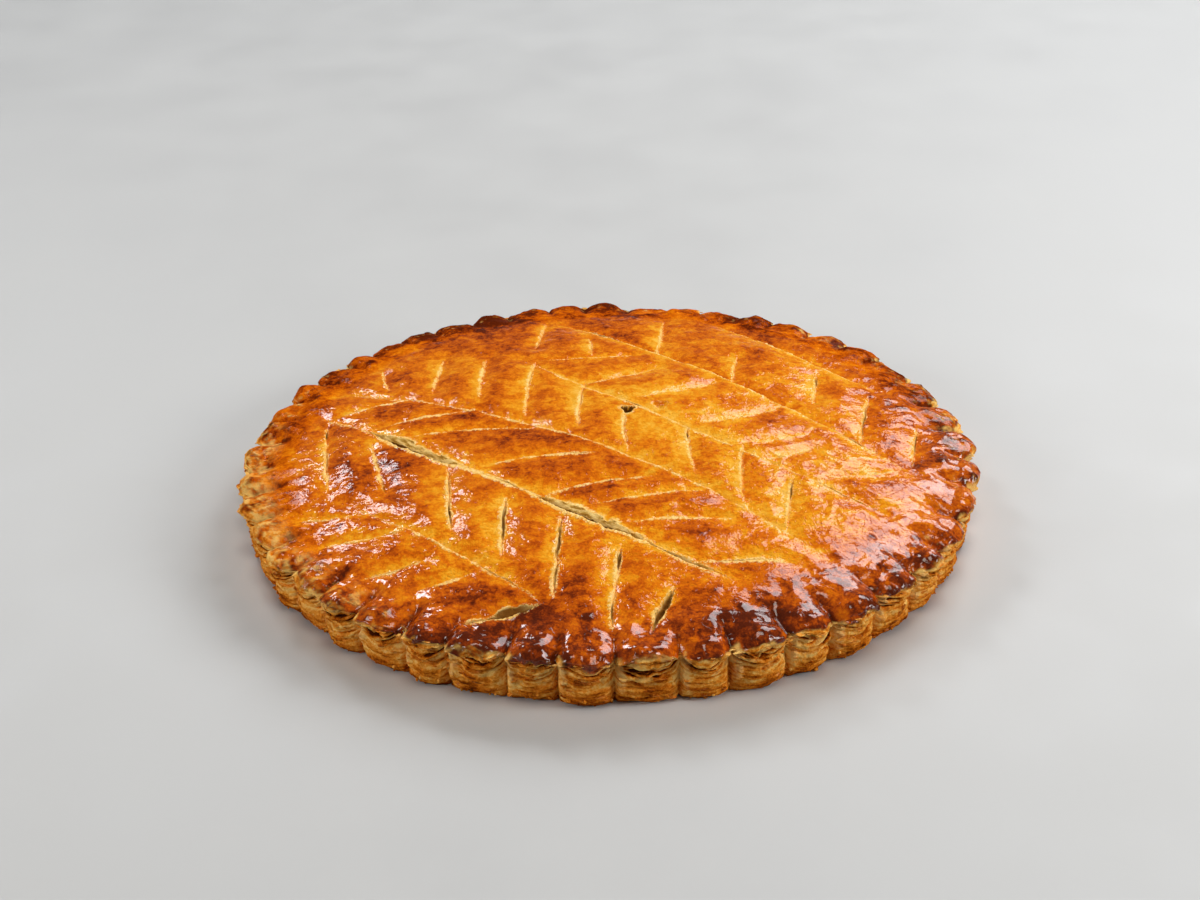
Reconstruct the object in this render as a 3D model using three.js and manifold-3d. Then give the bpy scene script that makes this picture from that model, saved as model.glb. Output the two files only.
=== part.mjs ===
// A galette des rois: a whole, uncut puff-pastry pie with a fluted rim, a shallow dome and a scored herringbone.
// Millimetres, +Z up. The origin is on the table, under the middle of the pie, and the pie rests on its flat base.
import * as THREE from 'three';
import { mergeVertices } from 'three/addons/utils/BufferGeometryUtils.js';
import Module from 'manifold-3d';

// ---- driving dimensions ----

const RIM_RADIUS = 121;        // to the tip of an average flute
const RIM_HEIGHT = 17;         // of the rim's crest above the table
const CENTRE_HEIGHT = 26;      // of the dome's middle
const DOME_POWER = 2.6;        // 2 is a parabola, more is a flatter middle with a steeper edge
const SWELL = 0.7;             // how far the top lid puffs up and sinks back
const SWELL_FADE = 3;          // more keeps the swell further out towards the rim
// The swell is two waves: a wide one over X and Y and a shorter slanting one, in millimetres and radians.
const WIDE_WAVE = { share: 0.6, alongX: 17, phaseX: 0.8, alongY: 21, phaseY: -0.4 };
const SLANTING_WAVE = { share: 0.4, along: 11, phase: 2.1 };

const FLUTE_COUNT = 45;
const COLUMNS_PER_FLUTE = 4;   // the first of them runs down the notch
const FIRST_NOTCH = 137.5;     // degrees, counter-clockwise from +X
const FLUTE_ROUNDNESS = 0.7;   // under 1 gives blunt flutes with sharp notches between them
const NOTCH_JITTER = 0.6;      // degrees
const TIP_JITTER = 1.0;        // radius, from flute to flute
const CREST_JITTER = 0.6;      // height, from flute to flute
const CREST_REACH = 4;         // how far in from the rim a flute's own height is still whole
const FLAKE_JITTER = 0.35;     // radius, from line to line of each flute's side
// The notches drift from even spacing as the dough was pulled: [times round, degrees of sine, degrees of cosine].
const NOTCH_DRIFT = [[1, -4.8, 0.6], [2, 0.1, -1.9], [3, -0.1, 0.7], [4, -0.7, 0.1]];

// The side, from the table to the crest. Each line of the profile has its inset from the rim's radius, its height,
// the depth of the notches there, and how far it climbs from the middle of a flute to the notch beside it.
// A gap between two leaves is that much deeper or shallower from flute to flute.
const SIDE = {
  baseEdge:   { inset: 4.2, height: 0.0,  notch: 1.6, climb: 0.0 },
  foot:       { inset: 2.9, height: 1.3,  notch: 2.2, climb: 0.2 },
  bottomLeaf: { inset: 1.9, height: 5.4,  notch: 2.9, climb: 0.5 },
  shoulder:   { inset: 2.3, height: 8.7,  notch: 3.0, climb: 1.5 },
  lowerGap:   { inset: 4.0, height: 9.4,  notch: 2.4, climb: 1.9, gap: 1.7 },
  leafBelow:  { inset: 1.7, height: 10.1, notch: 3.0, climb: 2.2 },
  leafAbove:  { inset: 1.5, height: 11.6, notch: 3.1, climb: 2.5 },
  upperGap:   { inset: 4.2, height: 12.3, notch: 2.5, climb: 2.7, gap: 2.6 },
  lipUnder:   { inset: 0.9, height: 13.0, notch: 3.4, climb: 2.7 },
  lipNose:    { inset: 0.0, height: 14.6, notch: 3.6, climb: 2.0 },
  lipOver:    { inset: 1.1, height: 16.2, notch: 3.5, climb: 0.9 },
};
const GAP_SHALLOW = 0.6;       // the part of a gap's range by which it may stay shallower
// On top the flutes run inwards as fingers and fade: inset of each ring, the notch's inset there and its depth.
const FINGERS = [
  { inset: 4.0, notch: 2.8, valley: 0.9 },
  { inset: 9.0, notch: 1.0, valley: 0.7 },
  { inset: 15.0, notch: 0.0, valley: 0.0 },
];
const LID_RINGS = [[92, 90], [72, 45], [48, 30], [22, 15]];   // radius and number of points

// The long scores lie side by side across the lid: start, end and sideways bow. All are opened by the oven.
const LONG_SCORES = {
  front:  { from: [-83, -37], to: [-20, -95], bow: 0.7,  width: 1.8, depth: 1.8 },
  second: { from: [-98, 23],  to: [36, -87],  bow: -1.8, width: 3.6, depth: 2.8 },
  third:  { from: [-93, 40],  to: [62, -74],  bow: 13,   width: 1.5, depth: 1.4 },
  fourth: { from: [-30, 57],  to: [85, -51],  bow: -2.9, width: 1.8, depth: 1.6 },
  fifth:  { from: [-18, 96],  to: [98, -26],  bow: 2.9,  width: 1.8, depth: 1.6 },
  back:   { from: [42, 92],   to: [94, 33],   bow: -1.2, width: 1.4, depth: 1.3 },
};
// Between them the short strokes lean one way in one band and the other way in the next, as the barbs of a feather.
// Each stroke has its place along the long score, its gap from it, its heading in degrees and its length.
const STROKES = [
  { score: 'front', width: 2.8, depth: 2.0, strokes: [
    [11, 4, 179, 18], [29, 2, -173, 25], [48, 9, -160, 19], [62, 5, -159, 16], [86, 0, -166, 25]] },
  { score: 'second', width: 2.0, depth: 2.0, strokes: [
    [3.5, 4, -83, 47], [24.5, 9, -77, 33], [61, 4, -85, 38], [87, 8, -91, 31], [109.5, 5, -93, 41],
    [132, 8, -95, 38], [157, 13, -112, 21]] },
  { score: 'second', width: 2.2, depth: 2.0, strokes: [
    [4, 3, 17, 28], [23, 6, 15, 34], [32.5, 9, 1, 40], [70, 4, 10, 38], [99, 2, 16, 36], [110, 10, 10, 34],
    [126, 7, 4, 32], [158, 0, -1, 30]] },
  { score: 'third', width: 1.8, depth: 1.8, strokes: [
    [19, 8, 101, 18], [34, 8, 85, 31], [53, 10, 88, 33], [72, 6, 87, 42], [93, 7, 86, 34], [114, 4, 91, 27],
    [142, 7, 92, 29], [161, 5, 86, 33], [178, 2, 80, 29]] },
  { score: 'fourth', width: 1.8, depth: 1.8, strokes: [
    [1, 5, 6, 35], [29.5, 2, 24, 29], [51, 5, 24, 33], [78, 5, 25, 35], [98, 3, 20, 24], [111.5, 0, 27, 18],
    [130.5, 10, 21, 22]] },
  { score: 'fifth', width: 1.7, depth: 1.8, strokes: [
    [-5, 3, -97, 29], [16.5, 7, -88, 17], [50.5, 1, 83, 34], [86.5, 1, 82, 21], [123, 12, 81, 24],
    [144.5, 1, 78, 36], [166, 4, 77, 28]] },
];
const STATION_STEP = 15;        // between the sections of a cut
const CUT_CLEARANCE = 0.8;      // how far the cutting blades stand above the lid
const CUT_OVERRUN = 0.05;       // of its length, that a blade runs on at each end as it leaves the lid
const CUT_FULLNESS = 0.6;       // less keeps a cut wide and deep nearer to its ends
const TANGENT_STEP = 0.01;      // of a cut's length

// A steam hole, and beside it a hollow where a bubble of the lid fell in.
const HOLES = [
  { at: [7, 13], radius: 2.1, depth: 4.5 },
  { at: [18, 16], radius: 2.4, depth: 1.4 },
];
const HOLE_SIDES = 8;

// ---- small helpers ----

const radians = THREE.MathUtils.degToRad;

// The same number from 0 to 1 each time for the same index and salt.
function chance(index, salt) {
  const value = Math.sin(index * 127.1 + salt * 311.7) * 43758.5453;
  return value - Math.floor(value);
}

function jitter(index, salt) {
  return 2 * chance(index, salt) - 1;
}

// ---- the form ----

function swell(x, y) {
  const wide = Math.sin(x / WIDE_WAVE.alongX + WIDE_WAVE.phaseX) * Math.cos(y / WIDE_WAVE.alongY + WIDE_WAVE.phaseY);
  const slanting = Math.sin((x - y) / SLANTING_WAVE.along + SLANTING_WAVE.phase);
  return SWELL * (WIDE_WAVE.share * wide + SLANTING_WAVE.share * slanting);
}

function lidHeight(x, y) {
  const share = Math.hypot(x, y) / RIM_RADIUS;
  const flat = Math.max(0, 1 - share ** DOME_POWER);
  return RIM_HEIGHT + (CENTRE_HEIGHT - RIM_HEIGHT) * flat + swell(x, y) * Math.min(1, SWELL_FADE * flat);
}

function notchAngle(index) {
  const even = 360 * index / FLUTE_COUNT;
  let drift = NOTCH_JITTER * jitter(index % FLUTE_COUNT, 1);
  for (const [times, sine, cosine] of NOTCH_DRIFT) {
    drift += sine * Math.sin(radians(times * even)) + cosine * (Math.cos(radians(times * even)) - 1);
  }
  return radians(FIRST_NOTCH + even + drift);
}

// One vertical line of the side, at a share from 0 to 1 of the way across a flute.
function columnAt(flute, share) {
  const start = notchAngle(flute);
  const end = notchAngle(flute + 1);
  return {
    flute,
    angle: start + (end - start) * share,
    bulge: Math.sin(Math.PI * share) ** FLUTE_ROUNDNESS,
    tip: TIP_JITTER * jitter(flute, 2) * Math.sin(Math.PI * share),
    crest: CREST_JITTER * jitter(flute, 3) * Math.sin(Math.PI * share),
  };
}

function sidePoint(column, line, lineIndex) {
  const hollow = 1 - column.bulge;
  const openness = line.gap ? line.gap * (chance(column.flute, 10 + lineIndex) - GAP_SHALLOW) : 0;
  const flake = line.gap ? 0 : FLAKE_JITTER * jitter(column.flute * 7 + lineIndex, 4);
  const radius = RIM_RADIUS + column.tip - line.inset - line.notch * hollow - openness + flake;
  const raised = line.height / RIM_HEIGHT;
  const height = line.height + line.climb * hollow + column.crest * raised;
  return [radius * Math.cos(column.angle), radius * Math.sin(column.angle), line.height > 0 ? height : 0];
}

function fingerPoint(column, ring) {
  const hollow = 1 - column.bulge;
  const radius = RIM_RADIUS + column.tip - ring.inset - ring.notch * hollow;
  const x = radius * Math.cos(column.angle);
  const y = radius * Math.sin(column.angle);
  const height = lidHeight(x, y) - ring.valley * hollow + column.crest * Math.min(1, CREST_REACH / ring.inset);
  return [x, y, height];
}

// ---- meshes and cuts ----

class MeshBuilder {
  constructor() {
    this.points = [];
    this.faces = [];
  }

  ring(points) {
    return points.map((point) => this.points.push(point) - 1);
  }

  // Joins two rings, the first below or outside the second. They may differ in number of points.
  join(lower, upper) {
    let i = 0;
    let j = 0;
    while (i < lower.length || j < upper.length) {
      const a = lower[i % lower.length];
      const b = upper[j % upper.length];
      if (j === upper.length || (i < lower.length && (i + 1) * upper.length <= (j + 1) * lower.length)) {
        this.faces.push([a, lower[(i + 1) % lower.length], b]);
        i += 1;
      } else {
        this.faces.push([a, upper[(j + 1) % upper.length], b]);
        j += 1;
      }
    }
  }

  cap(ring, point, upwards) {
    const middle = this.points.push(point) - 1;
    ring.forEach((a, k) => {
      const b = ring[(k + 1) % ring.length];
      this.faces.push(upwards ? [a, b, middle] : [b, a, middle]);
    });
  }

  geometry() {
    const geometry = new THREE.BufferGeometry();
    geometry.setAttribute('position', new THREE.Float32BufferAttribute(this.points.flat(), 3));
    geometry.setIndex(this.faces.flat());
    return geometry;
  }
}

function pieBlank() {
  const mesh = new MeshBuilder();
  const columns = [];
  for (let flute = 0; flute < FLUTE_COUNT; flute += 1) {
    for (let k = 0; k < COLUMNS_PER_FLUTE; k += 1) {
      columns.push(columnAt(flute, k / COLUMNS_PER_FLUTE));
    }
  }
  const sideLines = Object.values(SIDE);
  const rings = [
    ...sideLines.map((line, n) => mesh.ring(columns.map((column) => sidePoint(column, line, n)))),
    ...FINGERS.map((finger) => mesh.ring(columns.map((column) => fingerPoint(column, finger)))),
    ...LID_RINGS.map(([radius, count]) => mesh.ring(Array.from({ length: count }, (_, k) => {
      const angle = radians(FIRST_NOTCH + 360 * k / count);
      const x = radius * Math.cos(angle);
      const y = radius * Math.sin(angle);
      return [x, y, lidHeight(x, y)];
    }))),
  ];
  for (let n = 1; n < rings.length; n += 1) {
    mesh.join(rings[n - 1], rings[n]);
  }
  mesh.cap(rings[0], [0, 0, 0], false);
  mesh.cap(rings.at(-1), [0, 0, lidHeight(0, 0)], true);
  return mesh.geometry();
}

// The centre line of a long score.
function longScorePath({ from, to, bow }) {
  const start = new THREE.Vector2(...from);
  const run = new THREE.Vector2(...to).sub(start);
  const across = new THREE.Vector2(-run.y, run.x).normalize();
  return (share) => start.clone()
    .addScaledVector(run, share)
    .addScaledVector(across, 4 * bow * share * (1 - share));
}

function longScoreLength({ from, to }) {
  return Math.hypot(to[0] - from[0], to[1] - from[1]);
}

// A boat-shaped blade that follows a path over the lid, deepest in the middle and running out to a point at each end.
function blade(path, length, width, depth) {
  const sections = Math.max(3, Math.round(length / STATION_STEP));
  const mesh = new MeshBuilder();
  const place = (share) => {
    const point = path(share);
    return [point.x, point.y, lidHeight(point.x, point.y)];
  };
  const rings = [];
  for (let n = 1; n < sections + 1; n += 1) {
    const turn = Math.PI * n / (sections + 1);
    const share = 0.5 - (0.5 + CUT_OVERRUN) * Math.cos(turn);
    const fullness = Math.sin(turn) ** CUT_FULLNESS;
    const [x, y, z] = place(share);
    const along = path(share + TANGENT_STEP).sub(path(share - TANGENT_STEP)).normalize();
    const cutDepth = depth * fullness;
    const reach = 0.5 * width * fullness * (cutDepth + CUT_CLEARANCE) / cutDepth;
    rings.push(mesh.ring([
      [x - along.y * reach, y + along.x * reach, z + CUT_CLEARANCE],
      [x, y, z - cutDepth],
      [x + along.y * reach, y - along.x * reach, z + CUT_CLEARANCE],
    ]));
  }
  for (let n = 1; n < rings.length; n += 1) {
    mesh.join(rings[n], rings[n - 1]);
  }
  const [startX, startY, startZ] = place(-CUT_OVERRUN);
  const [endX, endY, endZ] = place(1 + CUT_OVERRUN);
  mesh.cap(rings[0], [startX, startY, startZ + CUT_CLEARANCE], true);
  mesh.cap(rings.at(-1), [endX, endY, endZ + CUT_CLEARANCE], false);
  return mesh.geometry();
}

function scoreBlades() {
  const blades = Object.values(LONG_SCORES).map((score) => (
    blade(longScorePath(score), longScoreLength(score), score.width, score.depth)));
  for (const { score, width, depth, strokes } of STROKES) {
    const onScore = longScorePath(LONG_SCORES[score]);
    for (const [station, gap, heading, length] of strokes) {
      const root = onScore(station / longScoreLength(LONG_SCORES[score]));
      const direction = new THREE.Vector2(Math.cos(radians(heading)), Math.sin(radians(heading)));
      const path = (share) => root.clone().addScaledVector(direction, gap + length * share);
      blades.push(blade(path, length, width, depth));
    }
  }
  return blades;
}

// A cone that stands on its tip, half above the lid, so that it cuts a hole of its radius to its depth.
function holeCutter({ at: [x, y], radius, depth }) {
  const cone = new THREE.ConeGeometry(2 * radius, 2 * depth, HOLE_SIDES);
  cone.rotateX(-Math.PI / 2);
  cone.translate(x, y, lidHeight(x, y));
  return cone;
}

const wasm = await Module();
wasm.setup();

function solid(geometry) {
  const bare = geometry.clone();
  bare.deleteAttribute('normal');
  bare.deleteAttribute('uv');
  const merged = mergeVertices(bare);
  return new wasm.Manifold(new wasm.Mesh({
    numProp: 3,
    vertProperties: new Float32Array(merged.attributes.position.array),
    triVerts: new Uint32Array(merged.index.array),
  }));
}

function geometryOf(manifold) {
  const mesh = manifold.getMesh();
  const geometry = new THREE.BufferGeometry();
  geometry.setAttribute('position', new THREE.Float32BufferAttribute(mesh.vertProperties, 3));
  geometry.setIndex(Array.from(mesh.triVerts));
  return geometry;
}

// ---- the object ----

function makeGalette() {
  let pie = solid(pieBlank());
  for (const cutter of [...scoreBlades(), ...HOLES.map(holeCutter)]) {
    pie = pie.subtract(solid(cutter));
  }
  const geometry = geometryOf(pie);
  geometry.computeBoundingBox();
  const middle = geometry.boundingBox.getCenter(new THREE.Vector3());
  geometry.translate(-middle.x, -middle.y, 0);
  geometry.computeVertexNormals();
  const crust = new THREE.MeshStandardMaterial({ color: 0xd58a2e, roughness: 0.3, metalness: 0 });
  const galette = new THREE.Mesh(geometry, crust);
  galette.name = 'galette';
  return galette;
}

const group = new THREE.Group();
group.add(makeGalette());

export default group;
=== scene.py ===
"""The looks of a galette des rois: glazed lid with its scores, fluted rim, flaky side, base and crumbs.

The form repeats the solid's own sizes and functions, in millimetres, on a much finer mesh. One closed skin is
made, raised and cut, and then shared out to pieces that keep its normals across their seams.
"""
import math

import bpy
import numpy as np
from mathutils import Matrix, Vector
from mathutils.geometry import delaunay_2d_cdt


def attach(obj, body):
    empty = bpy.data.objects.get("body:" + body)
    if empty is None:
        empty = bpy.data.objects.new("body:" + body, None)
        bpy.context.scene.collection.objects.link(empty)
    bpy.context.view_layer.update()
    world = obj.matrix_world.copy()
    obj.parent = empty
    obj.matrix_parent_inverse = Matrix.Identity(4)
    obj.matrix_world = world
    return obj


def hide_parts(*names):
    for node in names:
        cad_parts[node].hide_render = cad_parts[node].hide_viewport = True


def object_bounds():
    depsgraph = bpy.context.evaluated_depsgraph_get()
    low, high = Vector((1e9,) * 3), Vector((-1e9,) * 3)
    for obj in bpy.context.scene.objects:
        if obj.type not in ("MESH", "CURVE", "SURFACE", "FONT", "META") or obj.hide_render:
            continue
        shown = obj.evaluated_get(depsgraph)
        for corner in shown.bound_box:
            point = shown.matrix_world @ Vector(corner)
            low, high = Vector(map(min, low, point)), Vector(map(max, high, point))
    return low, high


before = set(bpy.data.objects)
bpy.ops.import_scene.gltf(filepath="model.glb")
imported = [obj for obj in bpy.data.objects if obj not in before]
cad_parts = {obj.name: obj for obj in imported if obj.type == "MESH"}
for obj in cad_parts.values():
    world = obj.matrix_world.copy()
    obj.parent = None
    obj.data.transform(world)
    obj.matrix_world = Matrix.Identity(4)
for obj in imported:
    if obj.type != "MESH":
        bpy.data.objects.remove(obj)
cad_low, cad_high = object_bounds()

NODE = "galette"
MM = 0.001

# ---- sizes of the form, as in the solid ----

RIM_RADIUS = 121
RIM_HEIGHT = 17
CENTRE_HEIGHT = 26
DOME_POWER = 2.6
SWELL = 0.7

FLUTE_COUNT = 45
SOLID_COLUMNS_PER_FLUTE = 4
FIRST_NOTCH = 137.5
FLUTE_ROUNDNESS = 0.7
NOTCH_JITTER = 0.6
TIP_JITTER = 1.0
CREST_JITTER = 0.6
NOTCH_DRIFT = [(1, -4.8, 0.6), (2, 0.1, -1.9), (3, -0.1, 0.7), (4, -0.7, 0.1)]

# name: inset from the rim's radius, height, depth of the notches, climb towards a notch, gap
SIDE = {
    "baseEdge": (4.2, 0.0, 1.6, 0.0, 0),
    "foot": (2.9, 1.3, 2.2, 0.2, 0),
    "bottomLeaf": (1.9, 5.4, 2.9, 0.5, 0),
    "shoulder": (2.3, 8.7, 3.0, 1.5, 0),
    "lowerGap": (4.0, 9.4, 2.4, 1.9, 1.7),
    "leafBelow": (1.7, 10.1, 3.0, 2.2, 0),
    "leafAbove": (1.5, 11.6, 3.1, 2.5, 0),
    "upperGap": (4.2, 12.3, 2.5, 2.7, 2.6),
    "lipUnder": (0.9, 13.0, 3.4, 2.7, 0),
    "lipNose": (0.0, 14.6, 3.6, 2.0, 0),
    "lipOver": (1.1, 16.2, 3.5, 0.9, 0),
}
# Rings on top of the rim: inset, depth of the notches, depth of the valleys that they send inwards.
FINGERS = [(4.0, 2.8, 0.9), (9.0, 1.0, 0.7), (15.0, 0.0, 0.0)]

LONG_SCORES = {  # start, end, sideways bow
    "front": ((-83, -37), (-20, -95), 0.7),
    "second": ((-98, 23), (36, -87), -1.8),
    "third": ((-93, 40), (62, -74), 13),
    "fourth": ((-30, 57), (85, -51), -2.9),
    "fifth": ((-18, 96), (98, -26), 2.9),
    "back": ((42, 92), (94, 33), -1.2),
}
# For each family the long score that it starts from, and for each stroke its place along that score, its gap,
# heading in degrees and length.
STROKES = [
    ("front", [(11, 4, 179, 18), (29, 2, -173, 25), (48, 9, -160, 19), (62, 5, -159, 16), (86, 0, -166, 25)]),
    ("second", [(3.5, 4, -83, 47), (24.5, 9, -77, 33), (61, 4, -85, 38), (87, 8, -91, 31),
                (109.5, 5, -93, 41), (132, 8, -95, 38), (157, 13, -112, 21)]),
    ("second", [(4, 3, 17, 28), (23, 6, 15, 34), (32.5, 9, 1, 40), (70, 4, 10, 38), (99, 2, 16, 36),
                (110, 10, 10, 34), (126, 7, 4, 32), (158, 0, -1, 30)]),
    ("third", [(19, 8, 101, 18), (34, 8, 85, 31), (53, 10, 88, 33), (72, 6, 87, 42), (93, 7, 86, 34),
               (114, 4, 91, 27), (142, 7, 92, 29), (161, 5, 86, 33), (178, 2, 80, 29)]),
    ("fourth", [(1, 5, 6, 35), (29.5, 2, 24, 29), (51, 5, 24, 33), (78, 5, 25, 35), (98, 3, 20, 24),
                (111.5, 0, 27, 18), (130.5, 10, 21, 22)]),
    ("fifth", [(-5, 3, -97, 29), (16.5, 7, -88, 17), (50.5, 1, 83, 34), (86.5, 1, 82, 21), (123, 12, 81, 24),
               (144.5, 1, 78, 36), (166, 4, 77, 28)]),
]
HOLES = [((7, 13), 2.1, 4.5), ((18, 16), 2.4, 1.4)]  # place, radius, depth

# ---- how the oven opened the cuts ----

STROKE_BENDS = (0.03, -0.01, 0.045, 0.02, -0.05, 0.01)  # of a stroke's length, for each family
CLOSED_HALF = 0.20       # half of a shut cut's crease
CLOSED_DEPTH = 0.55
VALLEY = 0.30            # depth of the hollow that a shut cut lies in
SHELVES = 4.0            # layers that show on the far side of a wide one, as stairs
SHELF_DEPTH = 1.2
# Width of the pale dough beside a long score, and beside the strokes of each family.
PALE_LONG = {"front": 0.5, "second": 1.1, "third": 0.6, "fourth": 0.5, "fifth": 0.4, "back": 0.35}
PALE_STROKES = (0.55, 0.65, 0.80, 0.50, 0.60, 0.45)
LAYERED = (1.0, 0.35)    # how far a wide opening shows its layers, for a long score and for a stroke
LIP_FACING = (-0.45, -0.9)  # the side of every cut that stands up as a lip
BROWNED_AND_SHADED_FACING = (0.7, -0.7)  # the side of every cut painted darker than the other: partly browned more, partly painted shade
# Stretches that gape: from and to as shares of the cut's length, half of the width, and depth. A long score
# goes by its name, and a stroke by the numbers of its family and its own.
OPENINGS = {
    "front": [(0.62, 0.95, 0.4, 1.1)],
    "second": [(0.12, 0.40, 1.9, 2.7), (0.39, 0.60, 0.6, 1.2), (0.56, 0.82, 1.8, 2.6),
               (0.79, 0.98, 0.7, 1.6)],
    "third": [(0.02, 0.16, 0.4, 1.0)],
    "fourth": [(0.28, 0.40, 0.5, 1.4), (0.80, 0.98, 0.45, 1.3)],
    "fifth": [(0.07, 0.21, 0.9, 2.0), (0.78, 0.96, 0.4, 1.3)],
    "back": [(0.1, 0.5, 0.35, 1.0)],
    (0, 0): [(0.55, 1, 0.43, 1.4)],
    (0, 1): [(0.02, 0.3, 0.43, 1.4), (0.72, 1, 0.36, 1.25)],
    (0, 2): [(0.02, 0.98, 0.54, 1.48)],
    (0, 3): [(0.2, 0.8, 0.29, 0.94)],
    (0, 4): [(0.02, 0.75, 1.5, 2.6), (0.6, 0.98, 0.9, 1.6)],
    (1, 0): [(0.09, 0.22, 0.42, 1.6), (0.3, 0.8, 0.25, 0.9)],
    (1, 1): [(0.75, 0.97, 0.25, 1.09)],
    (1, 2): [(0.02, 0.55, 0.32, 0.9), (0.50, 0.97, 0.40, 1.3)],
    (1, 3): [(0.05, 0.8, 0.66, 1.4)],
    (1, 4): [(0.04, 0.6, 0.56, 1.4), (0.5, 0.95, 0.36, 1.1)],
    (1, 5): [(0.02, 0.32, 0.47, 1.48), (0.6, 0.95, 0.3, 1.25)],
    (1, 6): [(0.02, 0.95, 1.0, 1.9)],
    (2, 0): [(0.05, 0.6, 0.25, 0.78)],
    (2, 3): [(0.6, 0.97, 0.65, 1.56)],
    (2, 4): [(0.5, 0.95, 0.29, 0.94)],
    (2, 7): [(0.02, 0.95, 0.5, 1.4)],
    (3, 4): [(0.3, 0.95, 0.29, 0.78)],
    (3, 6): [(0.72, 0.97, 0.32, 1.01)],
    (3, 8): [(0.55, 0.97, 0.29, 1.25)],
    (4, 1): [(0.05, 0.5, 0.29, 0.78)],
    (4, 2): [(0.35, 0.95, 0.29, 1.01)],
    (4, 3): [(0.2, 0.7, 0.29, 0.86)],
    (4, 5): [(0.2, 0.9, 0.29, 1.09)],
    (4, 6): [(0.3, 0.9, 0.25, 0.94)],
    (5, 4): [(0.65, 0.95, 0.32, 1.33)],
    (5, 5): [(0.1, 0.9, 0.22, 1.09)],
    (5, 6): [(0.3, 0.95, 0.25, 1.09)],
}

# ---- fineness of the mesh ----

COLUMNS_PER_FLUTE = 38
SEAM_RADIUS = 110.5      # the lid's mesh ends on this circle and the rim's begins
RIM_ROWS = 40
RIM_SPACING = (0, 0.12, 0.42, 0.6, 0.82, 1)  # how far through those rows the rim's named rings come
SIDE_ROWS = 52
BASE_RINGS = (100, 70, 35)
LAYER_TOP = 18.0         # the layer coordinate on top of the rim, which counts down to 0 at the base edge
LID_LAYER = 30.0         # and on the lid
LID_STEP = 0.84          # between points of the open lid
CUT_STEP = 0.55          # between points along a cut
FAR = 30.0               # the distance given to points that no cut is near
BATCH = 4096             # points that are held against a cut's line at once
LID_POINT_GAP = 0.16
OPEN_ROWS = (0.5, 1.0)   # rows of points in a cut, as shares of half its width
EDGE_ROWS = (0.35, 0.8, 1.4)  # rows beyond its edge, in millimetres
SHELF_ROWS = (0.12, 0.30, 0.62, 0.75, 0.88, 1.12, 1.26)  # more shares, on the far side of a gaping cut
GAPING = 0.7             # half of the width from which a cut has them
CLEAR_OF_CUTS = 1.7      # distance from a cut's edge at which the even field begins
HOLE_RINGS = (0.1, 0.4, 0.7, 0.9, 1.05, 1.25, 1.6)  # rings of points at a hole, as shares of its radius
CLEAR_OF_HOLES = 1.9     # and the share at which the even field begins
BOX_MARGIN = 0.02        # that the skin keeps inside the solid's box

# ---- random numbers and noise ----


def chance(index, salt):
    value = math.sin(index * 127.1 + salt * 311.7) * 43758.5453
    return value - math.floor(value)


def jitter(index, salt):
    return 2 * chance(index, salt) - 1


HASH_STEPS = (374761393, 668265263, 2147483647)  # odd multipliers for x, y and z
HASH_SEED, HASH_LIMIT = 144665, 4294967291
HASH_MIX = 1274126177


def lattice(ix, iy, iz, seed):
    """A hashed number from -1 to 1 for each corner of a grid."""
    h = np.uint32(seed * HASH_SEED % HASH_LIMIT)
    for corner, step in zip((ix, iy, iz), HASH_STEPS):
        h = h + corner.astype(np.uint32) * np.uint32(step)
    h = (h ^ (h >> np.uint32(13))) * np.uint32(HASH_MIX)
    h = h ^ (h >> np.uint32(16))
    return h.astype(np.float64) / 2.0**31 - 1.0


def noise(x, y, z=0.0, seed=0, octaves=1):
    """Smooth noise from about -1 to 1, with one bump per unit."""
    x, y, z = np.broadcast_arrays(np.asarray(x, float), np.asarray(y, float), np.asarray(z, float))
    total = np.zeros(x.shape)
    strength = 1.0
    for octave in range(octaves):
        scale = 2.0**octave
        px, py, pz = x * scale + 7.3 * octave, y * scale - 3.1 * octave, z * scale + 5.7 * octave
        ix, iy, iz = (np.floor(p).astype(np.int64) for p in (px, py, pz))
        fx, fy, fz = px - ix, py - iy, pz - iz
        ux, uy, uz = (f * f * (3 - 2 * f) for f in (fx, fy, fz))
        value = np.zeros(x.shape)
        for dx in (0, 1):
            for dy in (0, 1):
                for dz in (0, 1):
                    weight = (ux if dx else 1 - ux) * (uy if dy else 1 - uy) * (uz if dz else 1 - uz)
                    value += weight * lattice(ix + dx, iy + dy, iz + dz, seed + octave)
        total += strength * value
        strength *= 0.5
    return total


def smoothstep(low, high, x):
    t = np.clip((x - low) / (high - low), 0, 1)
    return t * t * (3 - 2 * t)


def bell(x, width):
    """1 at 0, fading to nothing over about twice the width."""
    return np.exp(-((x / width) ** 2))


# ---- the rim's columns ----


def notch_angle(index):
    even = 360 * index / FLUTE_COUNT
    drift = NOTCH_JITTER * jitter(index % FLUTE_COUNT, 1)
    for times, sine, cosine in NOTCH_DRIFT:
        turn = math.radians(times * even)
        drift += sine * math.sin(turn) + cosine * (math.cos(turn) - 1)
    return math.radians(FIRST_NOTCH + even + drift)


NOTCHES = np.array([notch_angle(i) for i in range(FLUTE_COUNT + 1)])


def per_flute(salt, times=1, plus=0):
    return np.array([jitter(i * times + plus, salt) for i in range(FLUTE_COUNT)])


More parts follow.
